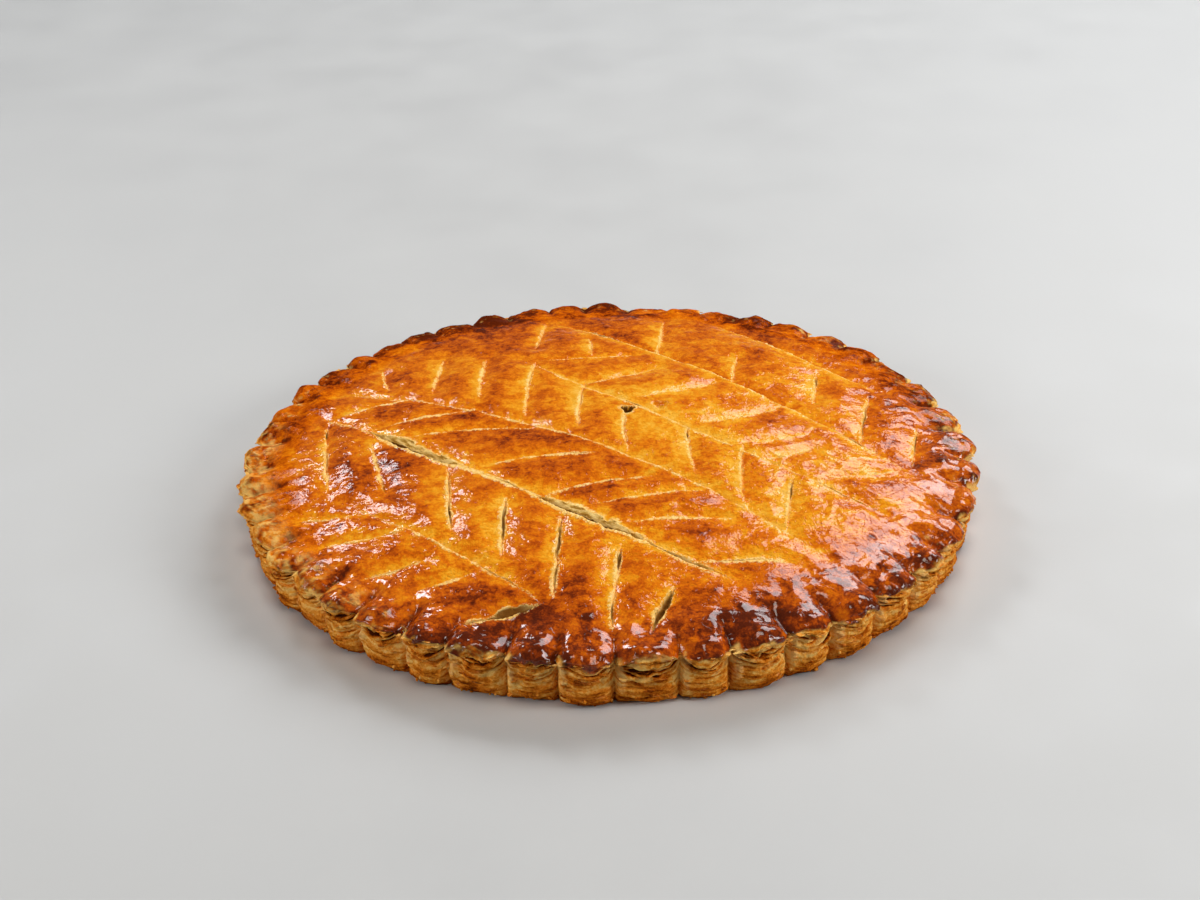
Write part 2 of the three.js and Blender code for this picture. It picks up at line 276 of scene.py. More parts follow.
class Columns:
    """Vertical lines of the side, the same number on each flute. The first of a flute runs down its notch."""

    def __init__(self, per):
        self.place = np.arange(FLUTE_COUNT * per) / per
        self.flute = (self.place + 1e-9).astype(int)
        self.share = self.place - self.flute
        self.angle = NOTCHES[self.flute] + (NOTCHES[self.flute + 1] - NOTCHES[self.flute]) * self.share
        wave = np.sin(np.pi * self.share)
        self.bulge = wave**FLUTE_ROUNDNESS
        self.hollow = 1 - self.bulge
        self.tip = TIP_JITTER * per_flute(2)[self.flute] * wave
        self.crest = CREST_JITTER * per_flute(3)[self.flute] * wave
        self.cos, self.sin = np.cos(self.angle), np.sin(self.angle)

    def at(self, radius, height):
        return np.stack([radius * self.cos, radius * self.sin, height + 0 * radius], -1)

    def radius(self, inset, notch):
        return RIM_RADIUS + self.tip - inset - notch * self.hollow

    def rise(self, height, climb):
        return height + climb * self.hollow + self.crest * height / RIM_HEIGHT


def flute_place(x, y):
    """How many flutes round the rim a point lies, from the first notch."""
    angle = np.arctan2(y, x)
    turned = NOTCHES[0] + (angle - NOTCHES[0]) % (2 * math.pi)
    return np.interp(turned, NOTCHES, np.arange(FLUTE_COUNT + 1))


def solid_middle():
    """The middle of the solid's box before it was centred, from the same points."""
    columns = Columns(SOLID_COLUMNS_PER_FLUTE)
    points = []
    for n, (inset, height, notch, _, gap) in enumerate(SIDE.values()):
        opened = gap * (np.array([chance(i, 10 + n) for i in range(FLUTE_COUNT)]) - 0.6)
        flake = per_flute(4, times=7, plus=n) * (0 if gap else 0.35)
        radius = columns.radius(inset, notch) - opened[columns.flute] + flake[columns.flute]
        points.append(columns.at(radius, height))
    points = np.concatenate(points)
    return (points.min(0) + points.max(0))[:2] / 2


# ---- the lid's height ----


def swell(x, y):
    return SWELL * (0.6 * np.sin(x / 17 + 0.8) * np.cos(y / 21 - 0.4) + 0.4 * np.sin((x - y) / 11 + 2.1))


def lid_height(x, y):
    flat = np.maximum(0, 1 - (np.hypot(x, y) / RIM_RADIUS) ** DOME_POWER)
    return RIM_HEIGHT + (CENTRE_HEIGHT - RIM_HEIGHT) * flat + swell(x, y) * np.minimum(1, 3 * flat)


def finger_height(x, y):
    """The dome with the valleys that the notches send inwards from the rim."""
    place = flute_place(x, y)
    share = place % 1
    wave = np.sin(np.pi * share)
    hollow = 1 - wave**FLUTE_ROUNDNESS
    flute = np.minimum(place.astype(int), FLUTE_COUNT - 1)
    inset = RIM_RADIUS - np.hypot(x, y)
    insets = [f[0] for f in FINGERS]
    valley = np.interp(inset, insets, [f[2] for f in FINGERS])
    crest = CREST_JITTER * per_flute(3)[flute] * wave
    fade = np.minimum(1, 4 / np.maximum(inset, 0.1)) * smoothstep(22, 9, inset)
    return lid_height(x, y) - valley * hollow + crest * fade


# ---- the cuts ----


class Cut:
    """A score of the lid, as points along its middle line, and how wide and deep it gapes at each."""

    def __init__(self, line, pale, openings, layered, index):
        self.index = index
        self.layered = layered
        steps = np.hypot(*np.diff(line, axis=0).T)
        length = steps.sum()
        count = max(8, round(length / CUT_STEP))
        place = np.linspace(0, length, count + 1)
        done = np.concatenate([[0], np.cumsum(steps)])
        line = np.stack([np.interp(place, done, line[:, k]) for k in (0, 1)], -1)
        along = np.gradient(line, axis=0)
        along /= np.hypot(*along.T)[:, None]
        self.across = np.stack([-along[:, 1], along[:, 0]], -1)
        wobble = 0.34 * noise(place / 5.0, index * 3.7, seed=21, octaves=4)
        self.line = line + self.across * wobble[:, None]
        self.lip = -1 if self.across[len(line) // 2] @ LIP_FACING < 0 else 1
        self.brown = -1 if self.across[len(line) // 2] @ BROWNED_AND_SHADED_FACING < 0 else 1
        share = place / length
        full = np.sin(np.pi * np.clip(share, 0.001, 0.999)) ** 0.4
        self.half = CLOSED_HALF * (0.35 + 0.65 * full) * (1 + 0.4 * noise(place / 3.0, index * 1.9, seed=22))
        uneven = smoothstep(-0.35, 0.35, noise(place / 5.0, index * 5.1, seed=24, octaves=2))
        self.depth = CLOSED_DEPTH * full * uneven
        torn = 1 + 0.42 * noise(place / 2.6, index * 2.7, seed=26, octaves=3)
        for low, high, half, deep in openings:
            inside = np.clip((share - low) / (high - low), 0, 1)
            gape = np.sin(np.pi * inside) ** 0.6
            self.half = np.maximum(self.half, half * gape * torn)
            self.depth = np.maximum(self.depth, deep * gape)
        self.full = full
        self.pale = pale * (0.75 + 0.6 * noise(place / 2.4, index * 3.9, seed=29, octaves=3))
        self.step = 0.50 * full * (1 + 0.6 * noise(place / 14.0, index * 2.3, seed=25))
        self.place = place


def on_long_score(name, share):
    """The point of a long score at each share of its length."""
    start, end, bow = LONG_SCORES[name]
    run = np.subtract(end, start).astype(float)
    across = np.array([-run[1], run[0]]) / math.hypot(*run)
    return np.array(start) + run * share + across * 4 * bow * share * (1 - share)


def make_cuts():
    cuts = []
    for name, pale in PALE_LONG.items():
        line = on_long_score(name, np.linspace(0, 1, 160)[:, None])
        cuts.append(Cut(line, pale, OPENINGS.get(name, []), LAYERED[0], len(cuts)))
    for family, (name, strokes) in enumerate(STROKES):
        full = math.hypot(*np.subtract(*LONG_SCORES[name][:2]))
        for n, (station, gap, heading, length) in enumerate(strokes):
            root = on_long_score(name, station / full)
            angle = math.radians(heading)
            way = np.array([math.cos(angle), math.sin(angle)])
            side = np.array([-way[1], way[0]])
            reach = np.linspace(0, 1, 30)[:, None]
            bend = length * STROKE_BENDS[family] * 4 * reach * (1 - reach)
            line = root + way * (gap + length * reach) + side * bend
            cuts.append(Cut(line, PALE_STROKES[family], OPENINGS.get((family, n), []), LAYERED[1], len(cuts)))
    return cuts


def near_cut(cut, x, y, margin=14):
    """Which points are near a cut, their distance from its line, their side of it, and its nearest point."""
    low, high = cut.line.min(0) - margin, cut.line.max(0) + margin
    picked = np.nonzero((x > low[0]) & (x < high[0]) & (y > low[1]) & (y < high[1]))[0]
    coarse = cut.line[::4]
    nearest = np.empty(len(picked), int)
    for k in range(0, len(picked), BATCH):
        part = picked[k:k + BATCH]
        gap = np.hypot(x[part, None] - coarse[None, :, 0], y[part, None] - coarse[None, :, 1])
        nearest[k:k + BATCH] = np.minimum(gap.argmin(1) * 4, len(cut.line) - 1)
    for offset in (3, 2, 1):  # walks to the nearest of the fine points
        for way in (-offset, offset):
            other = np.clip(nearest + way, 0, len(cut.line) - 1)
            here, there = (np.hypot(x[picked] - cut.line[k, 0], y[picked] - cut.line[k, 1])
                           for k in (nearest, other))
            nearest = np.where(there < here, other, nearest)
    away = np.stack([x[picked], y[picked]], -1) - cut.line[nearest]
    across = cut.across[nearest]
    sideways = (away * across).sum(1)
    beyond = np.abs(away[:, 0] * across[:, 1] - away[:, 1] * across[:, 0])
    ends = (nearest == 0) | (nearest == len(cut.line) - 1)
    distance = np.where(ends, np.hypot(sideways, beyond), np.abs(sideways))
    return picked, distance, np.sign(sideways), nearest


class ScoreFields:
    """What the cuts do at each point of the lid."""

    NAMES = {
        "drop": 0,      # how far the surface falls
        "inside": 0,    # 1 in an open cut
        "deep": 0,      # 1 in its crevice, where dark shade is painted
        "torn": 0,      # 1 on the pale torn edges
        "step": 0,      # how far the lip rises or the other side sinks
        "turned": 0,    # how much darker than elsewhere: partly browning, partly painted shade
        "halo": 0,      # 1 beside a cut, where the skin stayed golden
        "along": 0,     # place along the nearest cut
        "edge": FAR,    # distance from the nearest cut's edge
        "across": FAR,  # distance from its line, positive on the side of its lip
    }

    def __init__(self, cuts, x, y):
        for name, value in self.NAMES.items():
            setattr(self, name, np.full(len(x), float(value)))
        for cut in cuts:
            self.add(cut, *near_cut(cut, x, y))
        self.edge = np.maximum(self.edge, 0)

    def raise_to(self, name, picked, values):
        field = getattr(self, name)
        field[picked] = np.maximum(field[picked], values)

    def add(self, cut, picked, distance, side, k):
        half, depth, full = cut.half[k], cut.depth[k], cut.full[k]
        lipward = side * cut.lip
        far = lipward < 0
        wide = smoothstep(0.55, 1.1, half) * cut.layered
        reach = half * np.where(far, 1 + 0.35 * wide, 1)
        u, v = distance / reach, distance / half
        narrow = np.clip(1 - u**np.where(far, 2.6, 4.0), 0, 1) * depth
        stairs = np.clip((1.35 - v) / 1.1, 0, 1) * SHELVES
        stairs += 0.5 * noise(cut.place[k] / 5.0, cut.index * 1.3, seed=27)
        stairs = (np.floor(stairs) + smoothstep(0.3, 0.7, stairs % 1)) / SHELVES
        shelves = np.maximum(SHELF_DEPTH * np.clip(stairs, 0, 1), depth * smoothstep(0.30, 0.10, v))
        fall = np.where(far, narrow + wide * (shelves - narrow), narrow)
        self.raise_to("drop", picked, fall + VALLEY * full * bell(distance, 0.6 + half))
        inside = smoothstep(1.12, 0.85, u) * smoothstep(0.5, 1.1, depth)
        self.raise_to("inside", picked, inside)
        # painted shade: a cut's crevice is darkened, and on the far side of a wide cut only its core is
        shade_share = np.where(far, smoothstep(0.45, 0.2, v), 1)
        self.raise_to("deep", picked, inside * np.clip(depth / 2.6, 0, 1) * (1 + wide * (shade_share - 1)))
        gap = distance - reach
        pale = cut.pale[k]
        band = pale * np.where(far, 0.55, 1.15)
        torn = full * smoothstep(band + 0.7, band - 0.3, gap) * np.clip(0.35 + pale, 0, 1)
        self.raise_to("torn", picked, torn)
        self.step[picked] += cut.step[k] * lipward * np.exp(-distance / 3.2)
        self.raise_to("halo", picked, full * np.exp(-np.maximum(gap, 0) / 2.6))
        # one side of each cut is made darker, partly browning and partly painted shade
        browner = np.where(side * cut.brown > 0, 1.0, -0.7)
        nearer = gap < self.edge[picked]
        for field, values in ((self.turned, 0.15 * full * browner * np.exp(-np.maximum(gap, 0) / 6)),
                              (self.along, cut.place[k] + 37.0 * cut.index),
                              (self.across, distance * lipward), (self.edge, gap)):
            field[picked[nearer]] = values[nearer]


# ---- the lid's points ----


def lid_points(cuts, columns):
    """The seam's circle, rows of points along each cut, and an even field between them."""
    seam = columns.at(np.full(len(columns.angle), SEAM_RADIUS), 0)[:, :2]
    rows = []
    for cut in cuts:
        rows += [cut.line] + [cut.line + cut.across * (side * inner * cut.half)[:, None]
                              for inner in OPEN_ROWS for side in (1, -1)]
        rows += [cut.line + cut.across * (side * (cut.half + outer))[:, None]
                 for outer in EDGE_ROWS for side in (1, -1)]
        gaping = cut.half > GAPING
        rows += [(cut.line - cut.across * (cut.lip * inner * cut.half)[:, None])[gaping]
                 for inner in SHELF_ROWS]
    rows = np.concatenate(rows)
    for hole, radius, _ in HOLES:
        for ring in HOLE_RINGS:
            turn = np.arange(0, 2 * math.pi, 0.35 / (ring * radius + 0.2))
            around_hole = np.stack([np.cos(turn), np.sin(turn)], -1) * ring * radius + hole
            rows = np.concatenate([rows, around_hole])
    count = int(2 * RIM_RADIUS / LID_STEP)
    gx, gy = np.meshgrid(np.arange(-count // 2, count // 2 + 1) * LID_STEP,
                         np.arange(-count // 2, count // 2 + 1) * LID_STEP * math.sqrt(0.75) * 1.16)
    gx = gx + (np.arange(gx.shape[0]) % 2 * 0.5 * LID_STEP)[:, None]
    field = np.stack([gx.ravel(), gy.ravel()], -1)
    field = field + 0.16 * LID_STEP * np.stack([noise(field[:, 0] * 3.1, field[:, 1] * 3.1, seed=31),
                                                noise(field[:, 0] * 3.1, field[:, 1] * 3.1, seed=32)], -1)
    clear = ScoreFields(cuts, field[:, 0], field[:, 1]).edge > CLEAR_OF_CUTS
    for hole, radius, _ in HOLES:
        clear &= np.hypot(field[:, 0] - hole[0], field[:, 1] - hole[1]) > CLEAR_OF_HOLES * radius
    inner = np.concatenate([rows, field[clear]])
    inner = inner[np.hypot(*inner.T) < SEAM_RADIUS - 0.3]
    cells = np.floor(inner / LID_POINT_GAP).astype(np.int64)
    _, first = np.unique(cells[:, 0] * 100003 + cells[:, 1], return_index=True)
    return np.concatenate([seam, inner[np.sort(first)]])


def triangulate(points):
    """Delaunay's triangles over the points, in the points' own order."""
    places = [Vector(p) for p in points.tolist()]
    _, _, faces, sources, _, _ = delaunay_2d_cdt(places, [], [], 0, 1e-6)
    order = np.array([s[0] for s in sources])
    return order[np.array(faces)]


# ---- the whole skin ----


class Skin:
    """The closed surface as vertices, faces by part, and fields that the materials read."""

    def __init__(self):
        self.vertices = np.zeros((0, 3))
        self.faces = {}

    def add(self, points):
        start = len(self.vertices)
        self.vertices = np.concatenate([self.vertices, points])
        return np.arange(start, start + len(points))

    def strip(self, part, outer, inner):
        """Quads between two rings of the same count, outer or lower first, as two triangles each."""
        a, b = outer, np.roll(outer, -1)
        c, d = np.roll(inner, -1), inner
        self.faces.setdefault(part, []).extend([np.stack([a, b, c], -1), np.stack([a, c, d], -1)])

    def triangles(self, part=None):
        parts = self.faces.values() if part is None else [self.faces[part]]
        return np.concatenate([block for blocks in parts for block in blocks])

    def normals(self):
        faces = self.triangles()
        corners = self.vertices[faces]
        turn = np.cross(corners[:, 1] - corners[:, 0], corners[:, 2] - corners[:, 0])
        total = np.zeros_like(self.vertices)
        for k in range(3):
            for axis in range(3):
                total[:, axis] += np.bincount(faces[:, k], turn[:, axis], len(total))
        return total / np.maximum(np.linalg.norm(total, axis=1), 1e-12)[:, None]


def rounded(stations, shares):
    """A smooth line through stations, an array of station, column, axis, at shares counted in stations."""
    last = len(stations) - 1
    k = np.minimum(shares.astype(int), last - 1)
    t = (shares - k)[:, None, None]
    before, here = stations[np.maximum(k - 1, 0)], stations[k]
    there, after = stations[k + 1], stations[np.minimum(k + 2, last)]
    return 0.5 * (2 * here + (there - before) * t + (2 * before - 5 * here + 4 * there - after) * t**2
                  + (3 * here - before - 3 * there + after) * t**3)


def bare_side(columns, height):
    """A ring of the side before its leaves open, at this height of an average flute's middle."""
    plain = [line for name, line in SIDE.items() if "Gap" not in name]
    known = [line[1] for line in plain]
    inset, notch, climb = (np.interp(height, known, [line[k] for line in plain]) for k in (0, 2, 3))
    return columns.at(columns.radius(inset, notch), columns.rise(height, climb) * (height > 0))


def rim_rings(columns, seam):
    """Rings from the seam outwards over the rim and down round its lip, and the layer that each one is."""
    lip = ("lipOver", "lipNose", "lipUnder")
    stations = [seam]
    for inset, notch, _ in reversed(FINGERS[:2]):
        point = columns.at(columns.radius(inset, notch), 0)
        point[:, 2] = finger_height(point[:, 0], point[:, 1])
        stations.append(point)
    for inset, height, notch, climb, _ in (SIDE[name] for name in lip):
        stations.append(columns.at(columns.radius(inset, notch), columns.rise(height, climb)))
    shares = np.interp(np.linspace(0, 1, RIM_ROWS + 1), RIM_SPACING, range(len(stations)))
    rim = rounded(np.array(stations), shares)
    first = shares < 1  # straight outwards, so that no row turns back over the seam
    rim[first] = seam + (stations[1] - seam) * shares[first, None, None]
    top = shares < 2
    rim[top, :, 2] = finger_height(rim[top, :, 0], rim[top, :, 1])
    return rim[1:], np.interp(shares, [2, 3, 4, 5], [LAYER_TOP] + [SIDE[name][1] for name in lip])


def build_skin(cuts):
    columns = Columns(COLUMNS_PER_FLUTE)
    skin = Skin()
    flat = lid_points(cuts, columns)
    lid = skin.add(np.column_stack([flat, finger_height(flat[:, 0], flat[:, 1])]))
    skin.faces["lid"] = [lid[triangulate(flat)]]
    seam = lid[:len(columns.angle)]

    rim, layers = rim_rings(columns, skin.vertices[seam])
    rings = [seam] + [skin.add(ring) for ring in rim]
    for upper, lower in zip(rings, rings[1:]):
        skin.strip("rim", lower, upper)

    heights = np.linspace(SIDE["lipUnder"][1], 0, SIDE_ROWS + 1)[1:]
    side = [skin.add(bare_side(columns, height)) for height in heights]
    for upper, lower in zip([rings[-1]] + side, side):
        skin.strip("side", lower, upper)

    base = [side[-1]] + [skin.add(columns.at(np.full(len(seam), float(r)), 0)) for r in BASE_RINGS]
    for outer, inner in zip(base, base[1:]):
        skin.strip("base", inner, outer)
    middle = skin.add(np.zeros((1, 3)))[0]
    skin.faces["base"].append(np.stack([np.roll(base[-1], -1), base[-1], np.full(len(seam), middle)], -1))
    rows = list(zip(rings, layers)) + list(zip(side, heights))
    return skin, columns, {"top": np.concatenate([lid] + rings), "side": side, "rows": rows}


# ---- the leaves of the side ----

# The layers from the base up: height of the leaf's upper edge, depth of the gap above it, how much that
# wanders, and how far the gap reaches up and down.
LEAVES = [
    (2.8, 0.1, 0.6, 0.30),
    (5.8, 0.2, 0.9, 0.30),
    (8.3, 0.3, 1.3, 0.28),
    (10.0, 0.9, 1.5, 0.28),
    (11.4, 1.2, 1.5, 0.26),
    (12.6, 2.2, 1.7, 0.34),
    (13.6, 0.9, 1.3, 0.22),
    (14.5, 0.5, 0.9, 0.20),
]
LEAF_SPREAD = 0.80   # how far leaves stand out or back
LEAF_CURL = 0.40     # how far a leaf's upper edge bends out
LEAF_DIP = 1.3       # how much lower it runs in the middle of a flute than in a notch
FLAKE_STEP = 0.26    # from one flake to the next
LEAF_CHIP = 0.90     # how far back the places are where a leaf's edge broke off


def round_noise(where, size, level, seed, octaves=1):
    """Noise that goes round the rim without a seam."""
    reach = RIM_RADIUS / size
    return noise(reach * where.cos, reach * where.sin, level, seed=seed, octaves=octaves)


def plates(columns, layer, length, thickness, seed):
    """Flakes with sharp edges, as the steps of a noise that is drawn out along the side."""
    height = 2.5 * round_noise(columns, length, layer / thickness, seed, 2)
    level = np.floor(height)
    return level + smoothstep(0.65, 1.0, height - level)


def open_leaves(columns, rows):
    """For each row of columns: how far its leaves stand out, how deep its gaps are, and which flake shows."""
    leaves = []
    for n, (height, depth, change, reach) in enumerate(LEAVES):
        place = height + 0.60 * round_noise(columns, 8, n * 7.1, 51, 3)
        place -= LEAF_DIP * (columns.bulge - 0.6) * smoothstep(2, 9, height)
        place += 0.45 * per_flute(20 + n)[columns.flute] * smoothstep(0, 0.4, columns.bulge)
        thick = reach * (1 + 0.5 * round_noise(columns, 6, n * 3.3, 52))
        opened = np.maximum(0, depth + change * round_noise(columns, 8, n * 5.7, 53, 2))
        opened *= 0.3 + 0.7 * smoothstep(0, 0.45, columns.bulge)
        stand = LEAF_SPREAD * round_noise(columns, 4.5, n * 9.1, 54, 3)
        chip = LEAF_CHIP * smoothstep(0.12, 0.3, round_noise(columns, 2.6, n * 4.4, 55, 2))
        leaves.append((place, thick, opened, stand, chip))
    found = []
    for _, layer in rows:
        out, gape = np.zeros((2, len(columns.cos)))
        lower = -1
        for place, thick, opened, stand, chip in leaves:
            gape = np.maximum(gape, opened * bell(layer - place, thick))
            within = smoothstep(-0.08, 0.08, layer - lower) * smoothstep(0.08, -0.08, layer - place)
            out += within * (stand + (LEAF_CURL - chip) * smoothstep(0.9, 0.0, place - layer))
            lower = place
        flake = plates(columns, layer, 6.0, 1.3, 56)
        small = plates(columns, layer, 2.4, 0.8, 57)
        fine = smoothstep(16.5, 14.5, layer) * (0.45 + 0.55 * smoothstep(5, 11, layer))
        out = out * (0.5 + 0.5 * smoothstep(4, 10, layer)) + FLAKE_STEP * (flake + 0.5 * small) * fine
        found.append((out, gape, flake + 0.6 * small))
    return found


# ---- relief and browning ----

BLISTERS = 620
BLISTER_SEED = 11
PILLOW = 0.85         # how far the lid puffs up between its cuts
PILLOW_REACH = 4.6    # over this distance from a cut
LIP_SAG = 0.9         # how much lower or higher the lip of one flute hangs than the next
FOLD_AT = 0.10        # where on each flute the edge of its wrapped layers stands out, as a share of its width
FOLD_WIDTH = 0.07     # and how wide that edge is
FOLD = 0.9            # how far it stands out
GROOVE = 1.0          # depth of the crease beside it
CREASE = 0.9          # and of the one that runs inwards from each notch over the rim
WRINKLED = ((64, -34), 36, 0.38)  # where the lid wrinkled most: place, reach and height of the wrinkles
TOP_LIMIT = 26.45     # the highest the lid may reach
LEVELLING = 1.0       # how far below that it starts to level off
CLEARANCE = 0.05      # that all but the base keeps above the floor
CUTS_END = RIM_RADIUS - 2  # radius beyond which no cut does anything
LID_BROWNING = 0.48
LID_MATT = 0.22       # how much glaze the lid lacks
# Patches that browned more or less than the lid round them: place, reach and strength.
PATCHES = [
    ((-12, -10), 14, 0.14), ((-25, -32), 12, 0.14), ((-30, -8), 12, 0.10), ((-45, 8), 14, 0.12),
    ((-70, 38), 16, 0.12), ((-75, -15), 14, 0.10), ((-65, -50), 16, 0.12), ((-35, -95), 14, 0.12),
    ((0, -98), 16, 0.08), ((40, -102), 9, 0.16), ((-90, 8), 10, 0.12), ((-20, 80), 16, 0.12),
    ((4, 80), 5, 0.28), ((-42, 100), 14, 0.14), ((22, -58), 9, 0.10), ((20, 8), 24, -0.17),
    ((45, -8), 22, -0.13), ((18, -18), 16, -0.05), ((72, -46), 18, -0.07), ((-5, 22), 16, -0.10),
    ((50, -55), 20, -0.24), ((75, -25), 18, -0.05), ((0, -75), 12, -0.14), ((-35, -55), 14, -0.10),
    ((45, 58), 14, -0.12), ((70, 45), 12, -0.06), ((-88, 25), 7, -0.14), ((10, 14), 5, 0.12),
    ((-55, -25), 10, -0.06), ((-60, -12), 32, 0.07), ((15, -92), 14, 0.05), ((-8, -36), 9, 0.12),
    ((-30, -29), 8, 0.10), ((2, -46), 10, 0.10), ((25, -70), 9, 0.10), ((48, -84), 10, 0.10),
    ((70, -70), 8, 0.05), ((-72, -14), 10, 0.08), ((-83, -50), 9, 0.08), ((-66, -72), 8, 0.08),
    ((-22, 82), 9, 0.10), ((10, 75), 10, 0.10), ((20, 13), 11, 0.08), ((-64, 50), 12, 0.06),
    ((-52, 76), 9, -0.08), ((35, 72), 8, -0.08), ((0, -70), 8, -0.05), ((45, -35), 8, -0.06),
    ((-8, -68), 6, -0.04), ((60, -16), 9, 0.06), ((-12, -14), 8, 0.08), ((77, 65), 11, -0.15),
    ((95, 35), 9, -0.05), ((-18, 99), 10, -0.05), ((-17, -97), 10, 0.10), ((45, 78), 13, -0.11),
    ((5, 62), 28, -0.04), ((-78, -8), 9, -0.08), ((70, -60), 10, -0.08), ((83, 29), 9, 0.08),
]
# The rim by compass direction, in degrees: how far its browning departs from that of the lid.
RIM_BROWNING = [
    (-180, -0.08), (-165, -0.12), (-150, -0.09), (-135, -0.08), (-120, 0.09), (-90, 0.11), (-75, 0.09),
    (-60, 0.11), (-45, 0.02), (-30, 0.03), (0, 0.02), (30, 0.05), (60, 0.06), (90, 0.08), (105, 0.09),
    (120, 0.13), (150, 0.02), (170, 0.01), (180, -0.08),
]
# How much glaze it lacks, how much of its tips stayed bare, how far its flutes puff up, and up to which layer
# it is bare.
RIM_MATT = [(-180, 0.6), (-150, 0.4), (-130, 0.1), (-10, 0), (20, 0.4), (45, 0.7), (120, 0.8), (180, 0.6)]
TAN_TIPS = [
    (-180, 0.45), (-162, 0.58), (-145, 0.50), (-130, 0.25), (-118, 0), (-20, 0), (0, 0.20), (35, 0.25),
    (60, 0.10), (90, 0.05), (150, 0.05), (165, 0.25), (180, 0.45),
]
KNUCKLES = [(-180, 2.2), (-135, 4.2), (-45, 4.0), (0, 2.8), (40, 1.2), (90, 0.8), (140, 1.0), (180, 2.2)]
RIM_BARE = [(-180, 15.4), (-165, 16.2), (-150, 15.6), (-135, 14.8), (-90, 14.5), (-45, 14.5), (0, 14.9),
            (60, 14.4), (120, 14.4), (165, 14.8), (180, 15.4)]


class Places:
    """Where each point of the bare skin lies, and what the side's leaves do there.

    The steps of dressing also leave here what later ones read.
    """

    def __init__(self, skin, columns, parts):
        self.x, self.y, self.z = skin.vertices.T
        self.radius = np.hypot(self.x, self.y)
        self.inset = RIM_RADIUS - self.radius
        self.angle = np.arctan2(self.y, self.x)
        self.cos, self.sin = np.cos(self.angle), np.sin(self.angle)
        self.top, self.side = np.zeros((2, len(self.x)), bool)
        self.top[parts["top"]] = True
        self.side[np.concatenate(parts["side"])] = True
        self.base = ~(self.top | self.side)
        self.base[parts["side"][-1]] = True
        self.layer = np.where(self.top, LID_LAYER, 0.0)
        self.out, self.gape, self.flake = np.zeros((3, len(self.x)))
        for (ring, height), found in zip(parts["rows"], open_leaves(columns, parts["rows"])):
            self.layer[ring] = height
            self.out[ring], self.gape[ring], self.flake[ring] = found
        self.lip = smoothstep(10, 13, self.layer) * smoothstep(19, 16, self.layer)
        self.place = flute_place(self.x, self.y)
        self.flute = self.place.astype(int) % FLUTE_COUNT
        self.share = self.place % 1
        self.wave = np.sin(np.pi * self.share)
        self.bulge = self.wave**FLUTE_ROUNDNESS

    def noise(self, size, seed, octaves=1):
        return noise(self.x / size, self.y / size, self.z / size, seed=seed, octaves=octaves)

    def flat_noise(self, size, seed, octaves=1):
        return noise(self.x / size, self.y / size, seed=seed, octaves=octaves)

    def direction(self, table):
        """A table's value in the compass direction of each point."""
        return np.interp(np.degrees(self.angle), *zip(*table))

    def spot(self, middle, reach):
        return np.exp(-((self.x - middle[0]) ** 2 + (self.y - middle[1]) ** 2) / reach**2)


def blister_field(at):
    """How high the skin rises in small puffed blisters, of which the rim has more and larger ones."""
    rng = np.random.default_rng(BLISTER_SEED)
    rise = np.zeros(len(at.x))
    turn = rng.random(BLISTERS) * 2 * math.pi
    away = RIM_RADIUS - 1 - 118 * rng.random(BLISTERS) ** 2.4
    size = 0.6 + 2.2 * rng.random(BLISTERS) ** 3
    size *= np.interp(away, [0, 80, 110, 121], [0.5, 0.6, 1.15, 1.1])
    height = size * (0.08 + 0.16 * rng.random(BLISTERS))
    order = np.argsort(at.radius)
    ranked = at.radius[order]
    for t, a, s, h in zip(turn, away, size, height):
        first, last = np.searchsorted(ranked, [a - s * 1.5, a + s * 1.5])
        near = order[first:last]
        px, py = at.x[near], at.y[near]
        gap = np.hypot(px - a * math.cos(t), py - a * math.sin(t))
        gap *= 1 + 0.25 * noise(px / s, py / s, seed=62)
        hit = gap < s
        rise[near[hit]] = np.maximum(rise[near[hit]], h * (1 - (gap[hit] / s) ** 2) ** 1.5)
    return rise


def pierce(at, fields):
    """How deep each hole is and 1 inside those that go through the crust. Marks their torn edges too."""
    well, inside = np.zeros((2, len(at.x)))
    for (hx, hy), radius, depth in HOLES:
        turn = np.arctan2(at.y - hy, at.x - hx)
        corners = 1 + 0.24 * np.cos(3 * turn + 1.5 * math.pi) + 0.10 * noise(turn * 2, hx, seed=61)
        away = np.hypot(at.x - hx, at.y - hy) / radius / corners
        well = np.maximum(well, at.top * depth * np.clip(1 - away**5, 0, 1))
        pierced = smoothstep(1, 3, depth)
        inside = np.maximum(inside, at.top * smoothstep(1.15, 0.95, away) * pierced)
        torn = at.top * (0.2 + 0.7 * pierced) * bell(away - 1.2, 0.25)
        fields["torn"] = np.maximum(fields["torn"], torn)
    return well, inside


def bare_share(at):
    """1 where the layers show without glaze: on the side, on the lip and on the tips of some flutes."""
    tan = at.direction(TAN_TIPS)
    height = at.direction(RIM_BARE)
    height += (1.3 + 1.5 * tan) * round_noise(at, 4.0, at.layer / 2, 6, 4)
    height += 0.8 * per_flute(7)[at.flute] * at.wave
    folded = bell(at.share - FOLD_AT * 0.7, FOLD_WIDTH)
    height += folded * (1.5 + 1.6 * at.flat_noise(1.8, 14, 2))
    bare = np.where(at.top, smoothstep(0.9, -0.9, at.layer - height), 1.0)
    patchy = smoothstep(0.2, 0.8, tan + 0.45 * at.noise(1.8, 9, 3))
    return np.maximum(bare, 0.8 * at.top * smoothstep(107, 116, at.radius) * patchy * (tan > 0))


